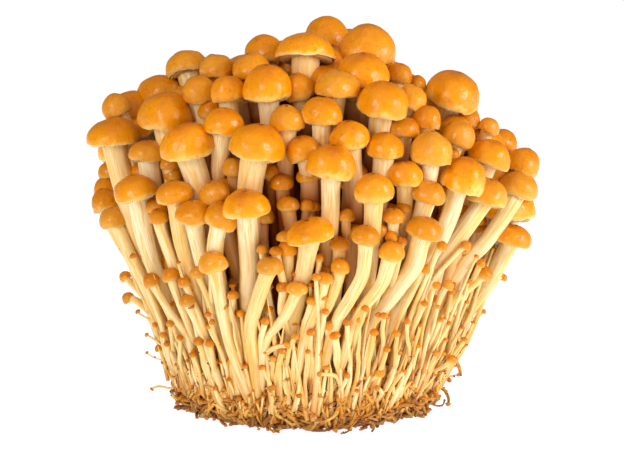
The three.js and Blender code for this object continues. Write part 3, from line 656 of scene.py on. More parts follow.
def stem_tree():
    """Lines grow into stems: wavering, thinner where their attribute says, and fibrous."""
    tree, given = new_tree("grown stems", Sides=12, Waver=0.0005, Waver_length=0.018, Fold=0.0006,
                           Fibre_depth=0.0002)
    curve = add(tree, "GeometryNodeMeshToCurve", {"Mesh": given["Geometry"]})
    along, own, thick = (add(tree, "GeometryNodeInputNamedAttribute", {"Name": name})
                         for name in ("along", "own", "thick"))
    half_turn = add(tree, "ShaderNodeMath", {0: along, 1: math.pi}, operation="MULTIPLY")
    free = add(tree, "ShaderNodeMath", {0: half_turn}, operation="SINE")
    amount = add(tree, "ShaderNodeMath", {0: given["Waver"], 1: free}, operation="MULTIPLY")
    bent = add(tree, "GeometryNodeSetPosition", {
        "Geometry": curve, "Offset": uneven(tree, given["Waver_length"], own, amount)})
    raised = line_above_ground(tree, bent, thick)
    made = swept(tree, raised, given["Sides"], given["Fold"], given["Fibre_depth"])
    return end_tree(tree, made, given)


def pinhead_tree():
    """A small domed head on every point, turned and sized by its attributes."""
    tree, given = new_tree("pinheads", Segments=10, Rings=8, Unevenness=0.12, Belly=0.4)
    ball = add(tree, "GeometryNodeMeshUVSphere",
               {"Segments": given["Segments"], "Rings": given["Rings"], "Radius": 1.0})
    x, y, z = add(tree, "ShaderNodeSeparateXYZ", {0: add(tree, "GeometryNodeInputPosition")}).outputs
    below = add(tree, "ShaderNodeMath", {0: 1.0, 1: z}, operation="SUBTRACT")
    fall = add(tree, "ShaderNodeMath", {0: below, 1: 0.5}, operation="MULTIPLY")
    flat = add(tree, "ShaderNodeCombineXYZ", {0: x, 1: y, 2: 0.0})
    out = add(tree, "ShaderNodeVectorMath", {0: flat}, operation="LENGTH").outputs["Value"]
    marked = ball
    for name, value in (("fall", fall), ("out", out)):
        marked = add(tree, "GeometryNodeStoreNamedAttribute",
                     {"Geometry": marked, "Name": name, "Value": value})
    shallow = add(tree, "ShaderNodeMath", {0: z, 1: given["Belly"]}, operation="MULTIPLY")
    under = add(tree, "ShaderNodeMath", {0: z, 1: shallow}, operation="MAXIMUM")
    domed = add(tree, "GeometryNodeSetPosition", {
        "Geometry": marked, "Position": add(tree, "ShaderNodeCombineXYZ", {0: x, 1: y, 2: under})})
    real = add(tree, "GeometryNodeRealizeInstances", {0: on_each_point(tree, domed, given)})
    tint = add(tree, "GeometryNodeInputNamedAttribute", {"Name": "tint"})
    amount = add(tree, "ShaderNodeMath", {0: given["Unevenness"], 1: HEAD_SIZE}, operation="MULTIPLY")
    lumpy = add(tree, "GeometryNodeSetPosition", {
        "Geometry": real, "Offset": uneven(tree, HEAD_LUMPS, tint, amount)})
    return end_tree(tree, above_ground(tree, lumpy, GROUND_GAP), given)


def gill_tree():
    """Thin gills stand like spokes under each cap, from the stem to the rim, sized in shares of the cap."""
    tree, given = new_tree("gills", Gills=52, Inner=0.3, Outer=0.87, Inner_height=0.09, Outer_height=-0.015,
                           Depth=0.07, Thickness=0.014)
    start = add(tree, "ShaderNodeCombineXYZ", {0: given["Inner"], 1: 0.0, 2: given["Inner_height"]})
    end = add(tree, "ShaderNodeCombineXYZ", {0: given["Outer"], 1: 0.0, 2: given["Outer_height"]})
    line = add(tree, "GeometryNodeCurvePrimitiveLine", {"Start": start, "End": end})
    section = add(tree, "GeometryNodeCurvePrimitiveCircle", {"Resolution": 4, "Radius": 1.0})
    thin = add(tree, "ShaderNodeCombineXYZ", {0: given["Thickness"], 1: given["Depth"], 2: 1.0})
    blade_section = add(tree, "GeometryNodeTransform", {"Geometry": section, "Scale": thin})
    upright = add(tree, "GeometryNodeSetCurveNormal", {"Curve": line}, mode="Z_UP")
    blade = add(tree, "GeometryNodeCurveToMesh",
                {"Curve": upright, "Profile Curve": blade_section, "Fill Caps": True})
    spokes = add(tree, "GeometryNodePoints", {"Count": given["Gills"]})
    index = add(tree, "GeometryNodeInputIndex")
    step = add(tree, "ShaderNodeMath", {0: 2 * math.pi, 1: given["Gills"]}, operation="DIVIDE")
    angle = add(tree, "ShaderNodeMath", {0: index, 1: step}, operation="MULTIPLY")
    turned = add(tree, "ShaderNodeCombineXYZ", {0: 0.0, 1: 0.0, 2: angle})
    wheel = add(tree, "GeometryNodeInstanceOnPoints",
                {"Points": spokes, "Instance": blade, "Rotation": turned})
    return end_tree(tree, on_each_point(tree, wheel, given), given)


def thread_tree():
    """Curled threads grow out of a matted surface in all directions."""
    tree, given = new_tree("root threads", Per_cm2=9.0, Seed=3, Shortest=0.006, Longest=0.014, Bulge=0.28,
                           Sunk=0.06, Thinnest=0.0002, Thickest=0.0005, Thinned=0.45, Curl=0.0035,
                           Curl_length=0.006, Sides=5, Fold=0.0002)
    density = add(tree, "ShaderNodeMath", {0: given["Per_cm2"], 1: PER_M2}, operation="MULTIPLY")
    points = add(tree, "GeometryNodeDistributePointsOnFaces",
                 {"Mesh": given["Geometry"], "Density": density, "Seed": given["Seed"]})
    own, thick, tip, roll, spin, length = (
        add(tree, "FunctionNodeRandomValue", {2: low, 3: high, "Seed": seed})
        for low, high, seed in (
            (0.0, UNLIKE, 1), (given["Thinnest"], given["Thickest"], 2), (-0.9, 0.9, 3), (-0.5, 0.5, 4),
            (0.0, 6.283, 5), (given["Shortest"], given["Longest"], 6)))
    named = points
    for name, value in (("own", own), ("thick", thick)):
        named = add(tree, "GeometryNodeStoreNamedAttribute",
                    {"Geometry": named, "Name": name, "Value": value})

    line = add(tree, "GeometryNodeCurvePrimitiveLine", {"Start": (-0.5, 0.0, 0.0), "End": (0.5, 0.0, 0.0)})
    many = add(tree, "GeometryNodeResampleCurve", {"Curve": line, "Count": THREAD_POINTS})
    share = add(tree, "GeometryNodeSplineParameter").outputs["Factor"]
    marked = add(tree, "GeometryNodeStoreNamedAttribute", {"Geometry": many, "Name": "along", "Value": share})
    half_turn = add(tree, "ShaderNodeMath", {0: share, 1: math.pi}, operation="MULTIPLY")
    arch = add(tree, "ShaderNodeMath", {0: half_turn}, operation="SINE")
    bulged = add(tree, "ShaderNodeMath", {0: arch, 1: given["Bulge"]}, operation="MULTIPLY")
    lift = add(tree, "ShaderNodeMath", {0: bulged, 1: given["Sunk"]}, operation="SUBTRACT")
    arched = add(tree, "GeometryNodeSetPosition", {
        "Geometry": marked, "Offset": add(tree, "ShaderNodeCombineXYZ", {0: 0.0, 1: 0.0, 2: lift})})
    turn = add(tree, "FunctionNodeEulerToRotation", {
        0: add(tree, "ShaderNodeCombineXYZ", {0: tip, 1: roll, 2: spin})})
    turned = add(tree, "FunctionNodeRotateRotation",
                 {"Rotation": points.outputs["Rotation"], "Rotate By": turn}, rotation_space="LOCAL")
    threads = add(tree, "GeometryNodeInstanceOnPoints",
                  {"Points": named, "Instance": arched, "Rotation": turned, "Scale": length})
    real = add(tree, "GeometryNodeRealizeInstances", {0: threads})

    own, thick, along = (add(tree, "GeometryNodeInputNamedAttribute", {"Name": name})
                         for name in ("own", "thick", "along"))
    curled = add(tree, "GeometryNodeSetPosition", {
        "Geometry": real, "Offset": uneven(tree, given["Curl_length"], own, given["Curl"])})
    laid = line_above_ground(tree, curled, thick)
    length = add(tree, "GeometryNodeSplineParameter").outputs["Length"]
    measured = add(tree, "GeometryNodeStoreNamedAttribute",
                   {"Geometry": laid, "Name": "run", "Value": length})
    thinned = add(tree, "ShaderNodeMath", {0: along, 1: given["Thinned"]}, operation="MULTIPLY")
    left = add(tree, "ShaderNodeMath", {0: 1.0, 1: thinned}, operation="SUBTRACT")
    tail = add(tree, "ShaderNodeMath", {0: thick, 1: left}, operation="MULTIPLY")
    tapered = add(tree, "GeometryNodeStoreNamedAttribute",
                  {"Geometry": measured, "Name": "thick", "Value": tail})
    made = swept(tree, tapered, given["Sides"], given["Fold"], 0.0)
    return end_tree(tree, made, given)


def speck_tree():
    """Crumbs of dark substrate cling to a surface, more of them the lower it is."""
    tree, given = new_tree("specks", Per_cm2=3.0, Seed=5, Smallest=0.00015, Largest=0.00048, Top=0.045)
    _, _, height = add(tree, "ShaderNodeSeparateXYZ", {0: add(tree, "GeometryNodeInputPosition")}).outputs
    low = add(tree, "ShaderNodeMapRange",
              {"Value": height, "From Min": given["Top"], "From Max": 0.0, "To Min": 0.0, "To Max": 1.0})
    most = add(tree, "ShaderNodeMath", {0: given["Per_cm2"], 1: PER_M2}, operation="MULTIPLY")
    density = add(tree, "ShaderNodeMath", {0: most, 1: low}, operation="MULTIPLY")
    points = add(tree, "GeometryNodeDistributePointsOnFaces",
                 {"Mesh": given["Geometry"], "Density": density, "Seed": given["Seed"]})
    size = add(tree, "FunctionNodeRandomValue", {2: given["Smallest"], 3: given["Largest"], "Seed": 8})
    spin = add(tree, "FunctionNodeRandomValue", {0: (0.0, 0.0, 0.0), 1: (6.2, 6.2, 6.2), "Seed": 9},
               data_type="FLOAT_VECTOR")
    ball = add(tree, "GeometryNodeMeshIcoSphere", {"Radius": 1.0, "Subdivisions": 1})
    crumb = add(tree, "GeometryNodeTransform", {"Geometry": ball, "Scale": CRUMB_SHAPE})
    placed = add(tree, "GeometryNodeInstanceOnPoints",
                 {"Points": points, "Instance": crumb, "Rotation": spin, "Scale": size})
    real = add(tree, "GeometryNodeRealizeInstances", {0: placed})
    return end_tree(tree, above_ground(tree, real, GROUND_GAP), given)


# Materials, whose patterns are sized in millimetres

# The colour that a stem takes deeper and deeper in the bunch: partly its moister, browner flesh, partly
# painted shade between the stems
BROWNING_AND_PAINTED_SHADE = [(0.0, "#EEA428"), (0.4, "#CE7608"), (1.0, "#9A4C00")]


def new_material(name):
    """A material that has nothing in it yet, and its tree."""
    material = bpy.data.materials.new(name)
    material.use_nodes = True
    material.node_tree.nodes.clear()
    return material, material.node_tree


def finish(material, inputs):
    """Ends a material in a surface with these inputs."""
    surface = add(material.node_tree, "ShaderNodeBsdfPrincipled", inputs)
    add(material.node_tree, "ShaderNodeOutputMaterial", {"Surface": surface})
    return material


def clouds(tree, *kinds):
    """Cloudy patterns in the piece's own space, each from the width of its patches, its detail and its
    roughness."""
    place = add(tree, "ShaderNodeTexCoord").outputs["Object"]
    return [add(tree, "ShaderNodeTexNoise", {
        "Vector": place, "Scale": 1 / (width * MM), "Detail": detail, "Roughness": rough}).outputs[0]
        for width, detail, rough in kinds]


def streaks(tree, own, *kinds):
    """Patterns along a stem's fibres, unlike from stem to stem, each from its streaks' width and length."""
    fibre = add(tree, "ShaderNodeAttribute", attribute_name="fibre").outputs["Vector"]
    shift = add(tree, "ShaderNodeCombineXYZ", {0: own, 1: own, 2: own})
    shifted = add(tree, "ShaderNodeVectorMath", {0: fibre, 1: shift}, operation="ADD")
    made = []
    for width, length in kinds:
        stretched = add(tree, "ShaderNodeMapping", {"Vector": shifted, "Scale": (1.0, 1.0, width / length)})
        made.append(add(tree, "ShaderNodeTexNoise", {
            "Vector": stretched, "Scale": 1 / (width * MM), "Detail": 2.0, "Roughness": 0.5}).outputs[0])
    return made


def tinged(tree, under, code, value, start, full, most):
    """Lays a colour over what is under it, from nothing where a value is at its start to the most at full."""
    share = add(tree, "ShaderNodeMapRange",
                {"Value": value, "From Min": start, "From Max": full, "To Max": most},
                interpolation_type="SMOOTHSTEP")
    return add(tree, "ShaderNodeMix", {0: share, 6: under, 7: colour(code)}, data_type="RGBA")


def relief(tree, *layers):
    """Relief in layers, each from its height pattern and its full depth, laid on the one before."""
    below = {}
    for height, depth in layers:
        inputs = {"Height": height, "Distance": depth * MM, "Strength": 1.0, **below}
        below = {"Normal": add(tree, "ShaderNodeBump", inputs)}
    return below["Normal"]


def moist_cap_skin():
    """The cuticle of a cap: a moist, faintly sticky skin, so satin and soft in its highlights. Its amber
    pigment is densest on the crown, in cloudy patches, and thins out to pale yellow at the margin."""
    material, tree = new_material("moist cap skin")
    patches, mottle, swells, pores = clouds(
        tree, (6.5, 4.0, 0.55), (1.6, 3.0, 0.6), (2.2, 2.0, 0.5), (0.45, 2.0, 0.5))
    fall, tint, out = (add(tree, "ShaderNodeAttribute", attribute_name=name).outputs["Fac"]
                       for name in ("fall", "tint", "out"))
    stray = add(tree, "ShaderNodeMapRange", {"Value": patches, "To Min": -0.475, "To Max": 0.475})
    strayed = add(tree, "ShaderNodeMath", {0: fall, 1: stray}, operation="ADD")
    pigment = add(tree, "ShaderNodeValToRGB", {0: strayed}, stops=[
        (0.0, "#CA6E00"), (0.2, "#E08400"), (0.42, "#EC9400"), (0.62, "#F49E00"), (0.8, "#F9A804"),
        (0.92, "#FFCC62")])
    blotched = tinged(tree, pigment, "#C66200", mottle, 0.52, 0.74, 0.5)
    kind = add(tree, "ShaderNodeTexWhiteNoise", {"W": tint}, noise_dimensions="1D").outputs["Value"]
    toned = tinged(tree, blotched, "#EFB440", kind, 0.5, 1.0, 0.5)
    age = add(tree, "ShaderNodeMath", {0: tint, 1: 0.7}, operation="MULTIPLY")
    aged = add(tree, "ShaderNodeMix", {0: age, 6: toned, 7: colour("#B86C04")}, data_type="RGBA")
    rimmed = tinged(tree, aged, "#FFF0CC", fall, 0.93, 0.98, 0.85)
    return finish(material, {
        "Base Color": tinged(tree, rimmed, "#5E2A0A", out, 0.13, 0.05, 0.85),
        "Roughness": add(tree, "ShaderNodeMapRange", {"Value": mottle, "To Min": 0.2, "To Max": 0.34}),
        "Normal": relief(tree, (patches, 0.5), (swells, 0.24), (pores, 0.03)),
        "IOR": 1.42,
        "Subsurface Weight": 0.2,
        "Subsurface Radius": (1.0, 0.32, 0.08),
        "Subsurface Scale": 2.0 * MM})


def stem_flesh(name, pale, gold, streak, foot, light_depth):
    """The flesh of a stem: packed lengthwise fibres, matt with a faint sheen, light passing a little way in.
    Golden streaks follow the fibres, the foot is a deeper gold, and stems deep in the bunch are brown, partly
    moister flesh and partly painted shade."""
    material, tree = new_material(name)
    own, along, deep = (add(tree, "ShaderNodeAttribute", attribute_name=part).outputs["Fac"]
                        for part in ("own", "along", "deep"))
    fine, broad = streaks(tree, own, (0.45, 9.0), (1.6, 22.0))
    body = add(tree, "ShaderNodeValToRGB", {0: broad}, stops=[(0.32, gold), (0.56, pale), (0.75, pale)])
    kind = add(tree, "ShaderNodeTexWhiteNoise", {"W": own}, noise_dimensions="1D").outputs["Value"]
    toned = tinged(tree, body, gold, kind, 0.35, 1.0, 0.6)
    lined = tinged(tree, toned, streak, fine, 0.48, 0.74, 0.62)
    height = add(tree, "ShaderNodeMath", {0: broad, 1: 0.3, 2: along}, operation="MULTIPLY_ADD")
    footed = tinged(tree, lined, foot, height, 0.75, 0.12, 0.7)
    # Stems deeper in the bunch are browned: partly moister flesh, partly painted shade between the stems
    brown = add(tree, "ShaderNodeValToRGB", {0: deep}, stops=BROWNING_AND_PAINTED_SHADE)
    return finish(material, {
        "Base Color": add(tree, "ShaderNodeMix", {0: deep, 6: footed, 7: brown}, data_type="RGBA"),
        "Roughness": 0.5,
        "Normal": relief(tree, (fine, 0.07), (broad, 0.3)),
        "IOR": 1.38,
        "Subsurface Weight": 0.35,
        "Subsurface Radius": (1.0, 0.86, 0.42),
        "Subsurface Scale": light_depth * MM})


def gill_flesh():
    """Gills: thin pale membranes, matt, with light passing through."""
    material, tree = new_material("pale gill flesh")
    patches, = clouds(tree, (1.2, 2.0, 0.5))
    return finish(material, {
        "Base Color": add(tree, "ShaderNodeValToRGB", {0: patches}, stops=[
            (0.3, "#EEB450"), (0.7, "#FFDC98")]),
        "Roughness": 0.65,
        "Subsurface Weight": 0.6,
        "Subsurface Radius": (1.0, 0.7, 0.4),
        "Subsurface Scale": 2.0 * MM})


def matted_substrate():
    """What the roots have matted: threads and crumbs of substrate pressed together, rough, brown, and
    near-black in its pits as painted shade."""
    material, tree = new_material("matted substrate")
    grains, = clouds(tree, (1.8, 4.0, 0.65))
    return finish(material, {
        # Painted shade: the same pattern drives the relief, so the near-black lows lie in the pits; the
        # browns are the substrate's own
        "Base Color": add(tree, "ShaderNodeValToRGB", {0: grains}, stops=[
            (0.38, "#1E0C03"), (0.5, "#4A240A"), (0.6, "#8A5218"), (0.74, "#C88A3C")]),
        "Roughness": 0.85,
        "Normal": relief(tree, (grains, 1.0))})


def root_thread_flesh():
    """Root threads: dried fibres from cream to golden brown, so matt. Each has its own colour, is darker
    toward its tip and in spots, and is painted darker brown near the ground as shade."""
    material, tree = new_material("dried root threads")
    own, along = (add(tree, "ShaderNodeAttribute", attribute_name=part).outputs["Fac"]
                  for part in ("own", "along"))
    kind = add(tree, "ShaderNodeTexWhiteNoise", {"W": own}, noise_dimensions="1D").outputs["Value"]
    body = add(tree, "ShaderNodeValToRGB", {0: kind}, stops=[
        (0.0, "#F2C262"), (0.4, "#E4A236"), (0.7, "#C87E1E"), (0.94, "#A46014"), (1.0, "#824610")])
    spots, = streaks(tree, own, (0.7, 2.8))
    spotted = tinged(tree, body, "#7A3E10", spots, 0.54, 0.64, 0.85)
    tipped = tinged(tree, spotted, "#6E3A10", along, 0.82, 1.0, 0.8)
    place = add(tree, "ShaderNodeTexCoord").outputs["Object"]
    _, _, height = add(tree, "ShaderNodeSeparateXYZ", {0: place}).outputs
    return finish(material, {
        # Painted shade: the threads darken to brown within 7 mm of the ground
        "Base Color": tinged(tree, tipped, "#70390C", height, 7 * MM, 0.5 * MM, 0.65),
        "Roughness": 0.6,
        "Subsurface Weight": 0.1,
        "Subsurface Radius": (1.0, 0.55, 0.22),
        "Subsurface Scale": 0.4 * MM})


def substrate_crumb():
    """Crumbs of dark substrate: dry and rough, so matt."""
    material, tree = new_material("substrate crumbs")
    patches, = clouds(tree, (3.0, 2.0, 0.5))
    return finish(material, {
        "Base Color": add(tree, "ShaderNodeValToRGB", {0: patches}, stops=[
            (0.38, "#3A1A06"), (0.5, "#7A3C10"), (0.62, "#A8641A")]),
        "Roughness": 0.8})


# Caps

CAP_SIDES = 38
CAP_STEPS = 10  # rings on the dome of a large cap
SMALL_CAP_SIDES = 20
SMALL_CAP_STEPS = 6
INNER_CAP_SIDES = 13

# How uneven a cap grew, in shares of its radius or height
RIM_WAVES = ((2, 0.03, 2.4), (3, 0.02, 1.7))  # times round, how far in and out, turn from cap to cap
RIM_DROOPS = ((1, 0.05), (2, 0.035), (5, 0.02))  # times round, how far up and down
RIM_TEARS = ((7, 0.010), (11, 0.010), (17, 0.010))  # the same for the torn edge
SWELL = 0.055  # how far the skin swells
SWELLS = 1.5  # about how many swells there are over a radius
RIPPLE = 0.014
RIPPLES = 3.6
DENTS = (1, 5)  # at least this many dents, and fewer than that many
DENT_WIDTH = (0.16, 0.45)
DENT_DEPTH = (0.01, 0.11)

# The margin of a closed cap and of an open one, as [out, up, how far from the crown to the rim]
CLOSED_MARGIN = np.array([
    (0.99, 0.11, 0.87), (0.965, 0.02, 0.92), (0.925, -0.035, 0.96), (0.885, -0.05, 0.985),
    (0.85, -0.035, 1.0), (0.82, 0.02, 1.06)])
OPEN_MARGIN = np.array([
    (1.0, 0.065, 0.87), (0.996, 0.025, 0.92), (0.986, -0.012, 0.96), (0.974, -0.032, 0.985),
    (0.958, -0.028, 1.0), (0.93, 0.02, 1.06)])
GILL_SIDE = np.array([(0.7, 0.07, 1.2), (0.5, 0.11, 1.4), (0.28, 0.14, 1.6)])


def openness(cap):
    """From 0, a closed button, to 1, an open cap with a thin edge."""
    flat = min(1, max(0, (1.2 - cap.height / cap.radius) / 0.4))
    wide = min(1, max(0, (cap.radius - 4.5) / 4.5))
    return min(1, 0.45 * flat + 0.65 * wide)


def cap_outline(steps, opened):
    """Outline of a cap of radius and height 1, as [out, up, how far from the crown to the rim]."""
    widest = 0.21 - 0.12 * opened
    dome = []
    for i in range(1, steps + 1):
        a = (math.pi / 2) * i / steps
        dome.append((math.sin(a), widest + (1 - widest) * math.cos(a), 0.82 * i / steps))
    margin = CLOSED_MARGIN * (1 - opened) + OPEN_MARGIN * opened
    return np.vstack([dome, margin, GILL_SIDE])


def cap_shape(cap, draw, small_sides):
    """One cap: a domed skin, uneven as it grew, with a wavy rim. Gives its points and faces, how far down
    from the crown and how far out each point is, and which faces are on the side of the gills."""
    large = cap.radius * 2 >= OWN_BODY
    sides = CAP_SIDES if large else small_sides
    outline = cap_outline(CAP_STEPS if large else SMALL_CAP_STEPS, openness(cap))
    turn = np.linspace(0, 2 * math.pi, sides, endpoint=False)
    wave = sum((far * np.cos(k * turn + own * cap.index) for k, far, own in RIM_WAVES), 1)
    out, up, fall = outline.T[:, :, None]
    phases = draw.uniform(0, 2 * math.pi, 6)
    droop = sum(far * np.cos(k * turn + phase) for (k, far), phase in zip(RIM_DROOPS, phases))
    torn = sum(far * np.cos(k * turn + phase) for (k, far), phase in zip(RIM_TEARS, phases[3:]))
    low = np.clip((fall - 0.45) / 0.5, 0, 1) ** 2 * np.clip((1.5 - fall) / 0.4, 0, 1)
    edge = np.clip((fall - 0.9) / 0.08, 0, 1) * np.clip((1.2 - fall) / 0.1, 0, 1)
    x = out * np.cos(turn) * wave
    y = out * np.sin(turn) * wave
    z = up + low * droop + edge * torn
    points = np.vstack([[(0, 0, 1)], np.stack([x, y, z], 2).reshape(-1, 3), [(0, 0, 0.14)]])
    falls = np.concatenate([[0], np.repeat(outline[:, 2], sides), [1.8]])
    outs = np.concatenate([[0], np.repeat(outline[:, 0], sides), [0.3]])
    outs[falls > 0.9] = 1

    start = Vector(draw.uniform(-50, 50, 3))
    swell = np.array([noise.noise(Vector(p) * SWELLS + start) for p in points])
    ripple = np.array([noise.noise(Vector(p) * RIPPLES + start) for p in points])
    grown = 1 + SWELL * swell + RIPPLE * ripple
    for _ in range(draw.integers(*DENTS)):
        away, down = draw.uniform(0, 2 * math.pi), draw.uniform(0.2, 1.2)
        centre = np.array([math.sin(down) * math.cos(away), math.sin(down) * math.sin(away), math.cos(down)])
        near = np.exp(-((points - centre) ** 2).sum(1) / draw.uniform(*DENT_WIDTH) ** 2)
        grown -= near * draw.uniform(*DENT_DEPTH) * min(1, cap.radius / 8)
    keep = np.clip((1.3 - falls) / 0.3, 0, 1)
    points = points * (1 + (grown - 1) * keep)[:, None]

    rings = len(outline)
    faces = [(0, 1 + j, 1 + (j + 1) % sides) for j in range(sides)]
    for i in range(rings - 1):
        a, b = 1 + i * sides, 1 + (i + 1) * sides
        faces += [(a + j, b + j, b + (j + 1) % sides, a + (j + 1) % sides) for j in range(sides)]
    last = 1 + (rings - 1) * sides
    faces += [(last + j, len(points) - 1, last + (j + 1) % sides) for j in range(sides)]
    under = rings - 3
    gilled = [False] * (sides * under) + [True] * (len(faces) - sides * under)

    scaled = points * np.array([cap.radius, cap.radius, cap.height])
    turned = np.array(Vector((0, 0, 1)).rotation_difference(Vector(cap.axis)).to_matrix())
    grown = scaled @ turned.T + cap.rim
    low, high = (np.array(corner) / MM for corner in cad_box)
    grown -= np.maximum(grown.max(0) - high, 0) - np.maximum(low - grown.min(0), 0)
    return grown, faces, falls, outs, gilled


def add_caps(name, caps, skin, gill, draw, small_sides=SMALL_CAP_SIDES):
    """One piece for all the caps of a group."""
    points, faces, falls, outs, tints, gilled = [], [], [], [], [], []
    for cap in caps:
        p, f, fall, out, g = cap_shape(cap, draw, small_sides)
        faces += [tuple(i + len(points) for i in face) for face in f]
        points += p.tolist()
        falls += fall.tolist()
        outs += out.tolist()
        gilled += g
        small = min(1, max(0, (8.5 - cap.radius) / 5))
        tints += [min(1, max(0, draw.normal(0.12 + 0.5 * small, 0.13)))] * len(p)
    piece = add_piece(name, points, faces, fall=falls, out=outs, tint=tints)
    smooth(piece, skin, gill)
    piece.data.polygons.foreach_set("material_index", [int(g) for g in gilled])
    return piece


def turn_to(axis):
    """The Euler angles that turn +Z to an axis."""
    return list(Vector((0, 0, 1)).rotation_difference(Vector(axis)).to_euler())


def add_gills(name, caps, tree, material):
    piece = add_piece(name, [cap.rim for cap in caps], [], turn=[turn_to(cap.axis) for cap in caps],
                      size=[np.array([cap.radius, cap.radius, cap.height]) * MM for cap in caps])
    return grow(piece, tree, material)


# Stems

BOW = 1.3  # how far a stem bows to a side, in millimetres, either way
SWAY = 1.0  # how far its upper part sways back


def bezier(a, b, c, d, count):
    t = np.linspace(0, 1, count)[:, None]
    return (1 - t) ** 3 * a + 3 * (1 - t) ** 2 * t * b + 3 * (1 - t) * t**2 * c + t**3 * d


def through(places, count):
    """A smooth line through places."""
    p = np.array(places)
    p = np.vstack([2 * p[0] - p[1], p, 2 * p[-1] - p[-2]])
    t = np.linspace(0, len(places) - 1 - 1e-9, count)
    k = t.astype(int)
    t = (t - k)[:, None]
    a, b, c, d = p[k], p[k + 1], p[k + 2], p[k + 3]
    return 0.5 * (2 * b + (c - a) * t + (2 * a - 5 * b + 4 * c - d) * t**2 + (3 * b - a - 3 * c + d) * t**3)


def guided_line(cap, count):
    """A stem in front goes down by the places that the front view shows, and inwards evenly to its foot."""
    top = cap.rim + cap.axis * STEM_END * cap.height
    way = WAYS[cap.seen]
    large = cap.radius * 2 >= OWN_BODY
    foot = on_front(*way[-1], LARGE_FOOT if large else SMALL_FOOT)
    stretches = np.linalg.norm(np.diff(np.array([cap.seen, *way]), axis=0), axis=1)
    gone = np.cumsum(stretches) / stretches.sum()
    depths = top[1] + (foot[1] - top[1]) * gone ** (0.7 if large else 1)
    places = [top] + [seen_at(*place, depth) for place, depth in zip(way, depths)]
    (a0, d0), (a1, d1) = way[-2:]
    places.append(seen_at(a1 + (a1 - a0) * DIVE, d1 + (d1 - d0) * DIVE, foot[1] * (1 - SUNK_BUTT)))
    return through(places[::-1], count)


def stem_line(cap, count, draw):
    """A stem leaves its clump with the fan of the bunch, bows a little and ends square to its cap."""
    if cap.seen in WAYS:
        return guided_line(cap, count)
    x, y = cap.rim[0] / SHOULDER_RADIUS, cap.rim[1] / SHOULDER_DEPTH
    out = math.hypot(x, y) / reach(min(cap.rim[2], SHOULDER_HEIGHT))
    turn = math.atan2(y, x)
    clump = round(turn / (2 * math.pi / CLUMPS)) * (2 * math.pi / CLUMPS)
    turn += (clump - turn) * CLUMPED + draw.normal(0, 0.05)
    r = FOOT_RADIUS * min(1, out) * draw.uniform(0.93, 1.0)
    foot = np.array([r * math.cos(turn), r * FLAT * math.sin(turn), ROOT_HEIGHT - ROOTED])
    top = cap.rim + cap.axis * STEM_END * cap.height
    span = np.linalg.norm(top - foot)
    flare = np.array([top[0] - foot[0], top[1] - foot[1], 0]) * STEM_FLARE
    line = bezier(foot, foot + UP * span * STEM_RISE + flare, top - cap.axis * span * STEM_SQUARE, top, count)
    t = np.linspace(0, 1, count)[:, None]
    aside = np.array([-math.sin(turn), math.cos(turn), 0])
    bow = draw.normal(0, BOW) * np.sin(math.pi * t) + draw.normal(0, SWAY) * np.sin(2 * math.pi * t) ** 2 * t
    return line + aside * bow


def browning_and_shade_depth(points):
    """How deep in the bunch points lie, from 0 near its outside to 1 where stems are fully browned: moister
    flesh in part, painted shade in part.
    """
    x, y, z = points.T
    out = np.hypot(x / SHOULDER_RADIUS, y / SHOULDER_DEPTH)
    root_share = ROOT_RADIUS / SHOULDER_RADIUS
    low = out / (root_share + (1 - root_share) * np.clip(z, 0, SHOULDER_HEIGHT) / SHOULDER_HEIGHT)
    high = np.hypot(out, (z - SHOULDER_HEIGHT) / DOME_RISE)
    depth = SHOULDER_RADIUS * (1 - np.where(z < SHOULDER_HEIGHT, low, high))
    return np.clip((depth - PAINTED_SHADE_FROM) / PAINTED_SHADE_OVER, 0, 1)


def add_lines(name, lines, thicks, draw):
    """A piece of bare lines with the attributes that stems grow by."""
    points, edges, along, thick, run, own, deep = [], [], [], [], [], [], []
    for line, width in zip(lines, thicks):
        edges += [(len(points) + i, len(points) + i + 1) for i in range(len(line) - 1)]
        points += line.tolist()
        steps = np.linalg.norm(np.diff(line, axis=0), axis=1)
        length = np.concatenate([[0], np.cumsum(steps)])
        along += (length / length[-1]).tolist()
        run += (length * MM).tolist()
        thick += (np.asarray(width) * MM).tolist()
        own += [draw.uniform(0, UNLIKE)] * len(line)
        # How deep each point lies, for the browning that is partly painted shade
        deep += browning_and_shade_depth(line).tolist()
    return add_piece(name, points, edges, along=along, thick=thick, run=run, own=own, deep=deep)


def add_mushroom_stems(name, caps, tree, material, draw, count, sides):
    """One piece for the stems of a group of mushrooms."""
    lines, thicks = [], []
    t = np.linspace(0, 1, count)
    for cap in caps:
        large = min(1, max(0, (cap.radius - 4) / 4))
        share = SMALL_STEM_SHARE + (STEM_SHARE - SMALL_STEM_SHARE) * large
        width = cap.radius * share * draw.uniform(0.93, 1.07)
        swell = 0.05 * np.sin(2 * math.pi * t * draw.uniform(0.8, 1.6) + draw.uniform(0, 6))
        flare = 0.12 * np.clip((t - 0.86) / 0.14, 0, 1) ** 2
        lines.append(stem_line(cap, count, draw))
        thicks.append(width * (FOOT_TAPER + (1 - FOOT_TAPER) * t**0.8 + swell + flare))
    piece = add_lines(name, lines, thicks, draw)
    return grow(piece, tree, material, Sides=sides)


# Thin stems and pinheads

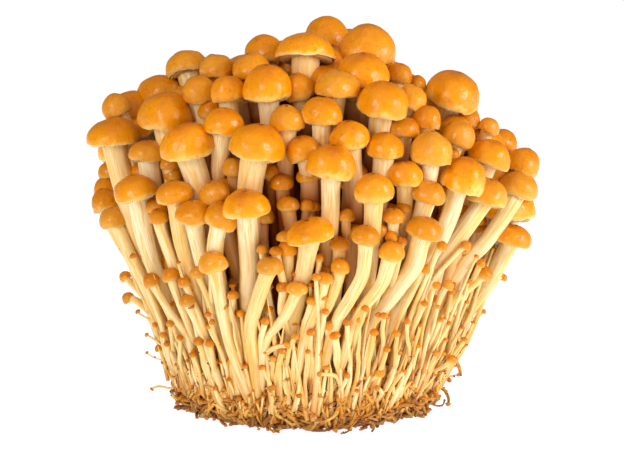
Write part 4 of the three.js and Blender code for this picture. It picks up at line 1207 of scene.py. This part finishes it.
THIN_COUNT = 620
THIN_WIDTH = (1.1, 2.3)
THIN_HEIGHT = (15, 60)
THIN_POINTS = 12
HEADED = 0.5  # share of the thin stems that end in a pinhead
PIN_POINTS = 14
CURL_COUNT = 620
CURL_WIDTH = (0.7, 1.7)
CURL_LENGTH = (5, 12)
CURL_TOP = 17  # up to which height the curls grow, in millimetres
CURL_POINTS = 12
CURLS_HEADED = 0.7
INNER_COUNT = 130
INNER_WIDTH = (2.8, 5.0)
INNER_HEIGHT = (50, 86)
INNER_SHARE = (0.72, 0.88)
INNER_POINTS = 10
INNER_FOOT = 8  # the height at which they start
FRINGE_COUNT = 300  # thin stems that rise from the lowest edge of the root mat
FRINGE_HEIGHT = (9, 32)
FRINGE_WIDTH = (1.1, 2.4)
FRINGE_HEADED = 0.4
NARROWER = 0.09  # how much less far the root mat reaches on its right, as a share, at the ground
NARROW_UP = 24  # up to which height it does
DRY_UP = 26  # up to which height pinheads are dried and darker

# Stray pins that leave the outline of the bunch, as [across, down] of their heads on the front view
STRAY_PINS = [[147, 335], [147, 353], [152, 389], [138, 312], [484, 294], [483, 312], [463, 341], [458, 375],
              [439, 396], [458, 356], [128, 296], [501, 275]]


def narrowed(x, z):
    """The root mat and what grows low on it reach less far on the right."""
    return x * (1 - NARROWER * max(0, 1 - z / NARROW_UP)) if x > 0 else x


def fan_point(turn, z, share):
    """A point in the side of the bunch."""
    out = reach(z) * share
    x, y = SHOULDER_RADIUS * out * math.cos(turn), SHOULDER_DEPTH * out * math.sin(turn)
    return np.array([narrowed(x, z), y, z])


def ended(t):
    """How a stem without a head thins out to its tip."""
    return np.clip((1 - t) / 0.25, 0.25, 1)


def thin_stems(draw):
    """Lines, widths and heads of the thin stems that crowd round the foot of the bunch."""
    lines, thicks, heads = [], [], []
    t = np.linspace(0, 1, THIN_POINTS)
    for i in range(THIN_COUNT):
        turn = i * GOLDEN_ANGLE + draw.uniform(-0.05, 0.05)
        low, high = THIN_HEIGHT
        top = low + (high - low) * draw.uniform() ** 1.7
        bottom = draw.uniform(3, 12)
        share, spread = draw.uniform(0.88, 1.01), draw.uniform(-0.02, 0.035)
        sway, bend = draw.normal(0, 0.045), draw.normal(0, 0.018)
        line = np.array([
            fan_point(turn + sway * s + bend * math.sin(math.pi * s), bottom + (top - bottom) * s,
                      share + spread * s)
            for s in t])
        width = draw.uniform(*THIN_WIDTH) * (0.75 + 0.25 * (top - low) / (high - low))
        headed = draw.uniform() < HEADED
        lines.append(line)
        thicks.append(width / 2 * (1.15 - 0.4 * t) * (1 if headed else ended(t)))
        if headed:
            heads.append((line[-1], line[-1] - line[-2], width * draw.uniform(0.62, 0.9)))
    for i in range(FRINGE_COUNT):
        turn = i * GOLDEN_ANGLE + 3
        bottom, top = draw.uniform(1.2, 6), draw.uniform(*FRINGE_HEIGHT)
        share, sway, bend = draw.uniform(0.95, 1.02), draw.normal(0, 0.04), draw.normal(0, 0.02)
        line = np.array([
            fan_point(turn + sway * s + bend * math.sin(math.pi * s), bottom + (top - bottom) * s,
                      share - 0.02 * s - 0.1 * (1 - s) ** 4)
            for s in t])
        width = draw.uniform(*FRINGE_WIDTH)
        headed = draw.uniform() < FRINGE_HEADED
        lines.append(line)
        thicks.append(width / 2 * (1.25 - 0.45 * t) * (1 if headed else ended(t)))
        if headed:
            heads.append((line[-1], line[-1] - line[-2], width * draw.uniform(0.55, 0.8)))
    for across, down, wide, *way in FRONT_PINS:
        places = [on_front(across, down, 1.03), on_front(*way[:2], 1.01), on_front(*way[2:], 0.96)]
        radius = wide / POINTS * DISTANCE / 2
        lines.append(through(places[::-1], PIN_POINTS))
        thicks.append(radius * draw.uniform(0.52, 0.66) * np.linspace(1.1, 1.0, PIN_POINTS))
        heads.append((places[0], places[0] - places[1], radius))
    for across, down in STRAY_PINS:
        tip = seen_at(across, down, draw.uniform(-12, 4))
        turn = math.atan2(tip[1] / SHOULDER_DEPTH, tip[0] / SHOULDER_RADIUS)
        z = max(6, tip[2] - draw.uniform(2, 9))
        root = fan_point(turn, z, 0.92)
        lift = np.array([0, 0, draw.uniform(-4, 3)])
        way = tip - root
        line = bezier(root, root + way * 0.4 + lift, tip - way * 0.2 - lift, tip, PIN_POINTS)
        width = draw.uniform(0.6, 1.0)
        lines.append(line)
        thicks.append(np.full(PIN_POINTS, width / 2))
        heads.append((tip, line[-1] - line[-2], width * 1.2))
    return lines, thicks, heads


def root_curls(draw):
    """Lines, widths and heads of the stunted stems that curl round the side of the root mat."""
    lines, thicks, heads = [], [], []
    t = np.linspace(0, 1, CURL_POINTS)
    along = t[:, None]
    for i in range(CURL_COUNT):
        turn = i * GOLDEN_ANGLE + 1
        z = 0.5 + CURL_TOP * draw.uniform() ** 1.5
        root = fan_point(turn, z, draw.uniform(0.9, 0.95))
        out = np.array([math.cos(turn), math.sin(turn), 0])
        aside = np.array([-math.sin(turn), math.cos(turn), 0])
        rise, lean = draw.normal(0.45, 0.6), draw.normal(0, 0.8)
        hook, swing = draw.normal(0, 1.5), draw.normal(0, 1.5)
        length = draw.uniform(*CURL_LENGTH)
        way = out * (1.1 - 1.2 * along) + aside * (lean + swing * along) + UP * (rise + hook * along)
        way /= np.linalg.norm(way, axis=1)[:, None]
        line = root + np.vstack([np.zeros(3), np.cumsum(way[:-1] * length / (CURL_POINTS - 1), axis=0)])
        line[:, 2] = np.maximum(line[:, 2], 0.3)
        width = draw.uniform(*CURL_WIDTH)
        lines.append(line)
        thicks.append(width / 2 * (1.15 - 0.45 * t))
        if draw.uniform() < CURLS_HEADED:
            heads.append((line[-1], line[-1] - line[-2], width * draw.uniform(0.5, 0.75)))
    return lines, thicks, heads


def inner_stems(draw):
    """Lines, widths and caps of the mushrooms that fill the bunch behind the ones in front."""
    lines, thicks, caps = [], [], []
    t = np.linspace(0, 1, INNER_POINTS)
    for i in range(INNER_COUNT):
        turn = i * GOLDEN_ANGLE + draw.uniform(-0.04, 0.04)
        top = draw.uniform(*INNER_HEIGHT)
        share, sway = draw.uniform(*INNER_SHARE), draw.normal(0, 0.05)
        line = np.array([
            fan_point(turn + sway * s, INNER_FOOT + (top - INNER_FOOT) * s, share + (0.86 - share) * (1 - s))
            for s in t])
        width = draw.uniform(*INNER_WIDTH)
        lines.append(line)
        thicks.append(width / 2 * (0.75 + 0.25 * t))
        radius = width * draw.uniform(0.75, 0.95)
        axis = unit(unit(line[-1] - line[-2]) + UP)
        height = radius * draw.uniform(0.95, 1.2)
        caps.append(Cap(line[-1] - axis * STEM_END * height, radius, height, axis, index=i))
    return lines, thicks, caps


def add_pinheads(name, heads, tree, material, draw, **values):
    """One piece for the heads of thin stems, which are older and darker near the ground."""
    points, turns, sizes, tints = [], [], [], []
    for tip, along, radius in heads:
        points.append(tip)
        turns.append(turn_to(unit(along)))
        sizes.append(np.array([1, 1, draw.uniform(0.75, 1.05)]) * radius * MM)
        dried = 0.7 * max(0, 1 - tip[2] / DRY_UP)
        tints.append(min(1.2, 0.25 + 0.75 * draw.uniform() ** 2 + dried))
    piece = add_piece(name, points, [], turn=turns, size=sizes, tint=tints)
    return grow(piece, tree, material, **values)


# Heart of the bunch and root mat

HEART_RIDGES = 34
HEART_SIDES = 180
HEART_STEP = 7  # between the rings of the heart, at most, in millimetres
MAT_SIDES = 140
MAT_STEP = 2
MAT_LUMPY = 36  # from this radius outwards the root mat grows lumpy
LUMP = 2.6  # how far out its lumps stand
LUMP_WIDTH = 5
PIT = 1.4
PIT_WIDTH = 2.2
MAT_SHRUNK = 1.2  # how far in its side is drawn, so that the lumps stay within its outline
THREAD_SIDES = 60  # of the band that the threads grow from


def lathe(outline, sides, rule):
    """Points and faces of an outline of [radius, height] turned round, each point moved by a rule."""
    points = [rule(0, outline[0][1], 0)]
    for r, z in outline[1:-1]:
        points += [rule(r, z, 2 * math.pi * j / sides) for j in range(sides)]
    points.append(rule(0, outline[-1][1], 0))
    faces = [(0, 1 + (j + 1) % sides, 1 + j) for j in range(sides)]
    rings = len(outline) - 2
    for i in range(rings - 1):
        a, b = 1 + i * sides, 1 + (i + 1) * sides
        faces += [(a + j, a + (j + 1) % sides, b + (j + 1) % sides, b + j) for j in range(sides)]
    last = 1 + (rings - 1) * sides
    faces += [(last + j, last + (j + 1) % sides, len(points) - 1) for j in range(sides)]
    return points, faces


def subdivided(outline, step):
    """An outline with a point at least every step, in millimetres."""
    points = [outline[0]]
    for (r0, z0), (r1, z1) in zip(outline, outline[1:]):
        count = max(1, math.ceil(math.hypot(r1 - r0, z1 - z0) / step))
        points += [(r0 + (r1 - r0) * k / count, z0 + (z1 - z0) * k / count) for k in range(1, count + 1)]
    return points


def heart():
    """The stems' butts, grown together deep in the bunch, ridged lengthwise, and fully browned: moister flesh
    in part, painted shade for the gaps in part.
    """
    def rule(r, z, angle):
        c, s = math.cos(angle), math.sin(angle)
        ridge = 1.6 * math.sin(HEART_RIDGES * angle + 0.05 * z)
        ridge += 1.4 * noise.noise(Vector((9 * c, 9 * s, z / 40)))
        grown = CORE_SHARE * r + ridge * min(1, r / 20)
        return (grown * c, grown * s * FLAT, z)

    points, faces = lathe(subdivided(CORE, HEART_STEP), HEART_SIDES, rule)
    place = np.array(points)
    # Fully browned all through: partly moister inner flesh, partly painted shade for the dark gaps between
    # stems
    return add_piece("stem_heart", points, faces, fibre=place * MM, along=place[:, 2] / 160,
                     own=np.zeros(len(points)), deep=np.ones(len(points)))


def mat_body():
    """The root mat: a low disc, pitted and lumpy all round its side."""
    outline = [(0, 0), (30, 0), (ROOT_SOLE_RADIUS, 0), (44.5, 1.2), (46, 4), (ROOT_RADIUS, 8), (46, 12),
               (43, ROOT_HEIGHT), (0, ROOT_HEIGHT)]

    def rule(r, z, angle):
        place = Vector((r * math.cos(angle), r * math.sin(angle), z))
        edge = min(1, max(0, (r - MAT_LUMPY) / 6))
        lump = LUMP * noise.noise(place / LUMP_WIDTH) + PIT * noise.noise(place / PIT_WIDTH)
        grown = r + edge * (lump - MAT_SHRUNK)
        lifted = z if z < 0.01 else max(0.3, z + edge * 0.8 * noise.noise(place / 3 + Vector((9, 9, 9))))
        return (narrowed(grown * math.cos(angle), z), grown * math.sin(angle) * FLAT, lifted)

    points, faces = lathe(subdivided(outline, MAT_STEP), MAT_SIDES, rule)
    return add_piece("root_mat_body", points, faces)


def mat_side(name):
    """The side and upper edge of the root mat, where threads grow."""
    outline = [(43.5, 1.0), (45.5, 4), (ROOT_RADIUS, 8), (46.5, 12), (46.5, 17)]
    sides = THREAD_SIDES
    points = [(narrowed(r * math.cos(a), z), r * math.sin(a) * FLAT, z) for r, z in outline
              for a in (2 * math.pi * j / sides for j in range(sides))]
    faces = []
    for i in range(len(outline) - 1):
        a, b = i * sides, (i + 1) * sides
        faces += [(a + j, a + (j + 1) % sides, b + (j + 1) % sides, b + j) for j in range(sides)]
    return add_piece(name, points, faces)


# Stage

FLOOR_RADIUS = 4
SENSOR = 36
PICTURE_WIDTH = 624

# Each light's azimuth and elevation in degrees, its width in metres and its power in watts
LIGHTS = {
    "left softbox": (-34, 20, 0.26, 1.6),
    "right softbox": (58, 20, 0.26, 2.2),
    "top fill": (0, 52, 1.2, 1.3),
    "low fill": (70, 3, 0.7, 2.1),
}
LIGHT_DISTANCE = 0.75
LIGHT_AIM = 0.07  # the height on the bunch that the lights face


def add_stage():
    """A pale floor, a white room, and soft lights to the left and right, from above and from low down."""
    bpy.ops.mesh.primitive_circle_add(vertices=96, radius=FLOOR_RADIUS, fill_type="NGON")
    floor = bpy.context.object
    floor.name = "floor"
    material, _ = new_material("pale floor")
    floor.data.materials.append(finish(material, {
        "Base Color": colour("#C4C4C4"),
        "Roughness": 0.9,
        "Specular IOR Level": 0.1,
        "Emission Color": colour("#EFF8FF"),
        "Emission Strength": 0.91}))

    world = bpy.data.worlds.new("white room")
    world.use_nodes = True
    background = world.node_tree.nodes["Background"]
    background.inputs["Color"].default_value = colour("#FFDDB0")
    background.inputs["Strength"].default_value = 0.38
    bpy.context.scene.world = world

    for name, (azimuth, elevation, width, power) in LIGHTS.items():
        light = bpy.data.lights.new(name, "AREA")
        light.shape = "DISK"
        light.size = width
        light.energy = power
        lamp = bpy.data.objects.new(name, light)
        bpy.context.scene.collection.objects.link(lamp)
        a, e = math.radians(azimuth), math.radians(elevation)
        away = Vector((math.sin(a) * math.cos(e), -math.cos(a) * math.cos(e), math.sin(e)))
        lamp.location = away * LIGHT_DISTANCE + Vector((0, 0, LIGHT_AIM))
        lamp.rotation_euler = away.to_track_quat("Z", "Y").to_euler()


def add_camera():
    data = bpy.data.cameras.new("camera")
    data.sensor_width = SENSOR
    data.lens = SENSOR * POINTS / PICTURE_WIDTH
    camera = bpy.data.objects.new("camera", data)
    bpy.context.scene.collection.objects.link(camera)
    camera.location = EYE * MM
    camera.rotation_euler = Vector(-LINE_OF_SIGHT).to_track_quat("Z", "Y").to_euler()
    bpy.context.scene.camera = camera


def node_of_each(caps):
    """The CAD node that holds each large cap: the one with a corner nearest to its crown."""
    names = sorted(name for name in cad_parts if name.startswith("caps_"))
    corners = [(vertex.co.copy(), name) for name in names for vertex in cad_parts[name].data.vertices]
    tree = kdtree.KDTree(len(corners))
    for i, (place, _) in enumerate(corners):
        tree.insert(place, i)
    tree.balance()
    groups = {name: [] for name in names}
    for cap in caps:
        crown = (cap.rim + cap.axis * cap.height) * MM
        groups[corners[tree.find(Vector(crown))[1]][1]].append(cap)
    return groups


def seat(piece, slot, *nodes):
    """A finished piece rides on the bunch and stands for its nodes, which it hides. Its slot is not used."""
    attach(piece, "root")
    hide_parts(*nodes)


def build():
    add_camera()
    mushrooms = place_mushrooms()
    large = [cap for cap in mushrooms if cap.radius * 2 >= OWN_BODY]
    small = [cap for cap in mushrooms if cap.radius * 2 < OWN_BODY]
    draw = np.random.default_rng(11)

    skin, gill = moist_cap_skin(), gill_flesh()
    thick_flesh = stem_flesh("cream stem flesh", "#FFF0C6", "#F6CC74", "#E2A43A", "#F4C66A", 1.3)
    thin_flesh = stem_flesh("golden stem flesh", "#FFE8B0", "#F8C868", "#E29C30", "#D08A28", 0.5)
    # The heart's dark flesh: browner inner flesh in part, painted shade for the gaps in part
    heart_flesh = stem_flesh("brown flesh of the heart", "#C87E1E", "#A86210", "#804408", "#804408", 1.0)
    mat, threads, crumbs = matted_substrate(), root_thread_flesh(), substrate_crumb()

    for name, caps in node_of_each(large).items():
        seat(add_caps(name.replace("caps", "cap_skins"), caps, skin, gill, draw), "cap_skin", name)
    seat(add_caps("small_cap_skins", small, skin, gill, draw), "cap_skin", "stems")
    seat(add_gills("gills", large, gill_tree(), gill), "cap_skin", "stems")

    grown = stem_tree()
    seat(add_mushroom_stems("thick_stems", large, grown, thick_flesh, draw, 26, 14), "stem_flesh", "stems")
    seat(add_mushroom_stems("small_stems", small, grown, thin_flesh, draw, 20, 9), "stem_flesh", "stems")
    lines, thicks, heads = thin_stems(draw)
    seat(grow(add_lines("thin_stems", lines, thicks, draw), grown, thin_flesh, Sides=6, Waver=0.0016,
              Waver_length=0.012, Fold=0.0003, Fibre_depth=0.0001), "stem_flesh", "stems")
    lines, thicks, caps = inner_stems(draw)
    inner = add_lines("inner_stems", lines, thicks, draw)
    seat(grow(inner, grown, thick_flesh, Sides=8), "stem_flesh", "stems")
    seat(add_caps("inner_cap_skins", caps, skin, gill, draw, INNER_CAP_SIDES), "cap_skin", "stems")
    lines, thicks, curled_heads = root_curls(draw)
    seat(grow(add_lines("root_curls", lines, thicks, draw), grown, threads, Sides=6, Waver=0.0012,
              Waver_length=0.006, Fold=0.0006, Fibre_depth=0.0001), "root_threads", "root_mat")
    knobs = pinhead_tree()
    seat(add_pinheads("pinheads", heads, knobs, skin, draw), "cap_skin", "stems")
    seat(add_pinheads("curl_heads", curled_heads, knobs, skin, draw, Segments=7, Rings=5),
         "cap_skin", "stems")
    seat(smooth(heart(), heart_flesh), "stem_flesh", "stems")

    seat(smooth(mat_body(), mat), "root_threads", "root_mat")
    curling = thread_tree()
    seat(grow(mat_side("fine_threads"), curling, threads, Per_cm2=7.0), "root_threads", "root_mat")
    seat(grow(mat_side("coarse_threads"), curling, threads, Per_cm2=12.0, Seed=8, Shortest=0.007,
              Longest=0.015, Thinnest=0.0005, Thickest=0.0011, Bulge=0.36), "root_threads", "root_mat")
    scatter = speck_tree()
    for name, host, per_cm2 in (
            ("crumbs_on_stems", "thin_stems", 3.0), ("crumbs_on_threads", "root_curls", 16.0)):
        specks = add_piece(name, [], [])
        specks.data = bpy.data.objects[host].data.copy()
        specks.data.materials.clear()
        seat(grow(specks, scatter, crumbs, Per_cm2=per_cm2), "root_threads", "root_mat")
    add_stage()
    bpy.context.scene.view_settings.view_transform = "Standard"


build()
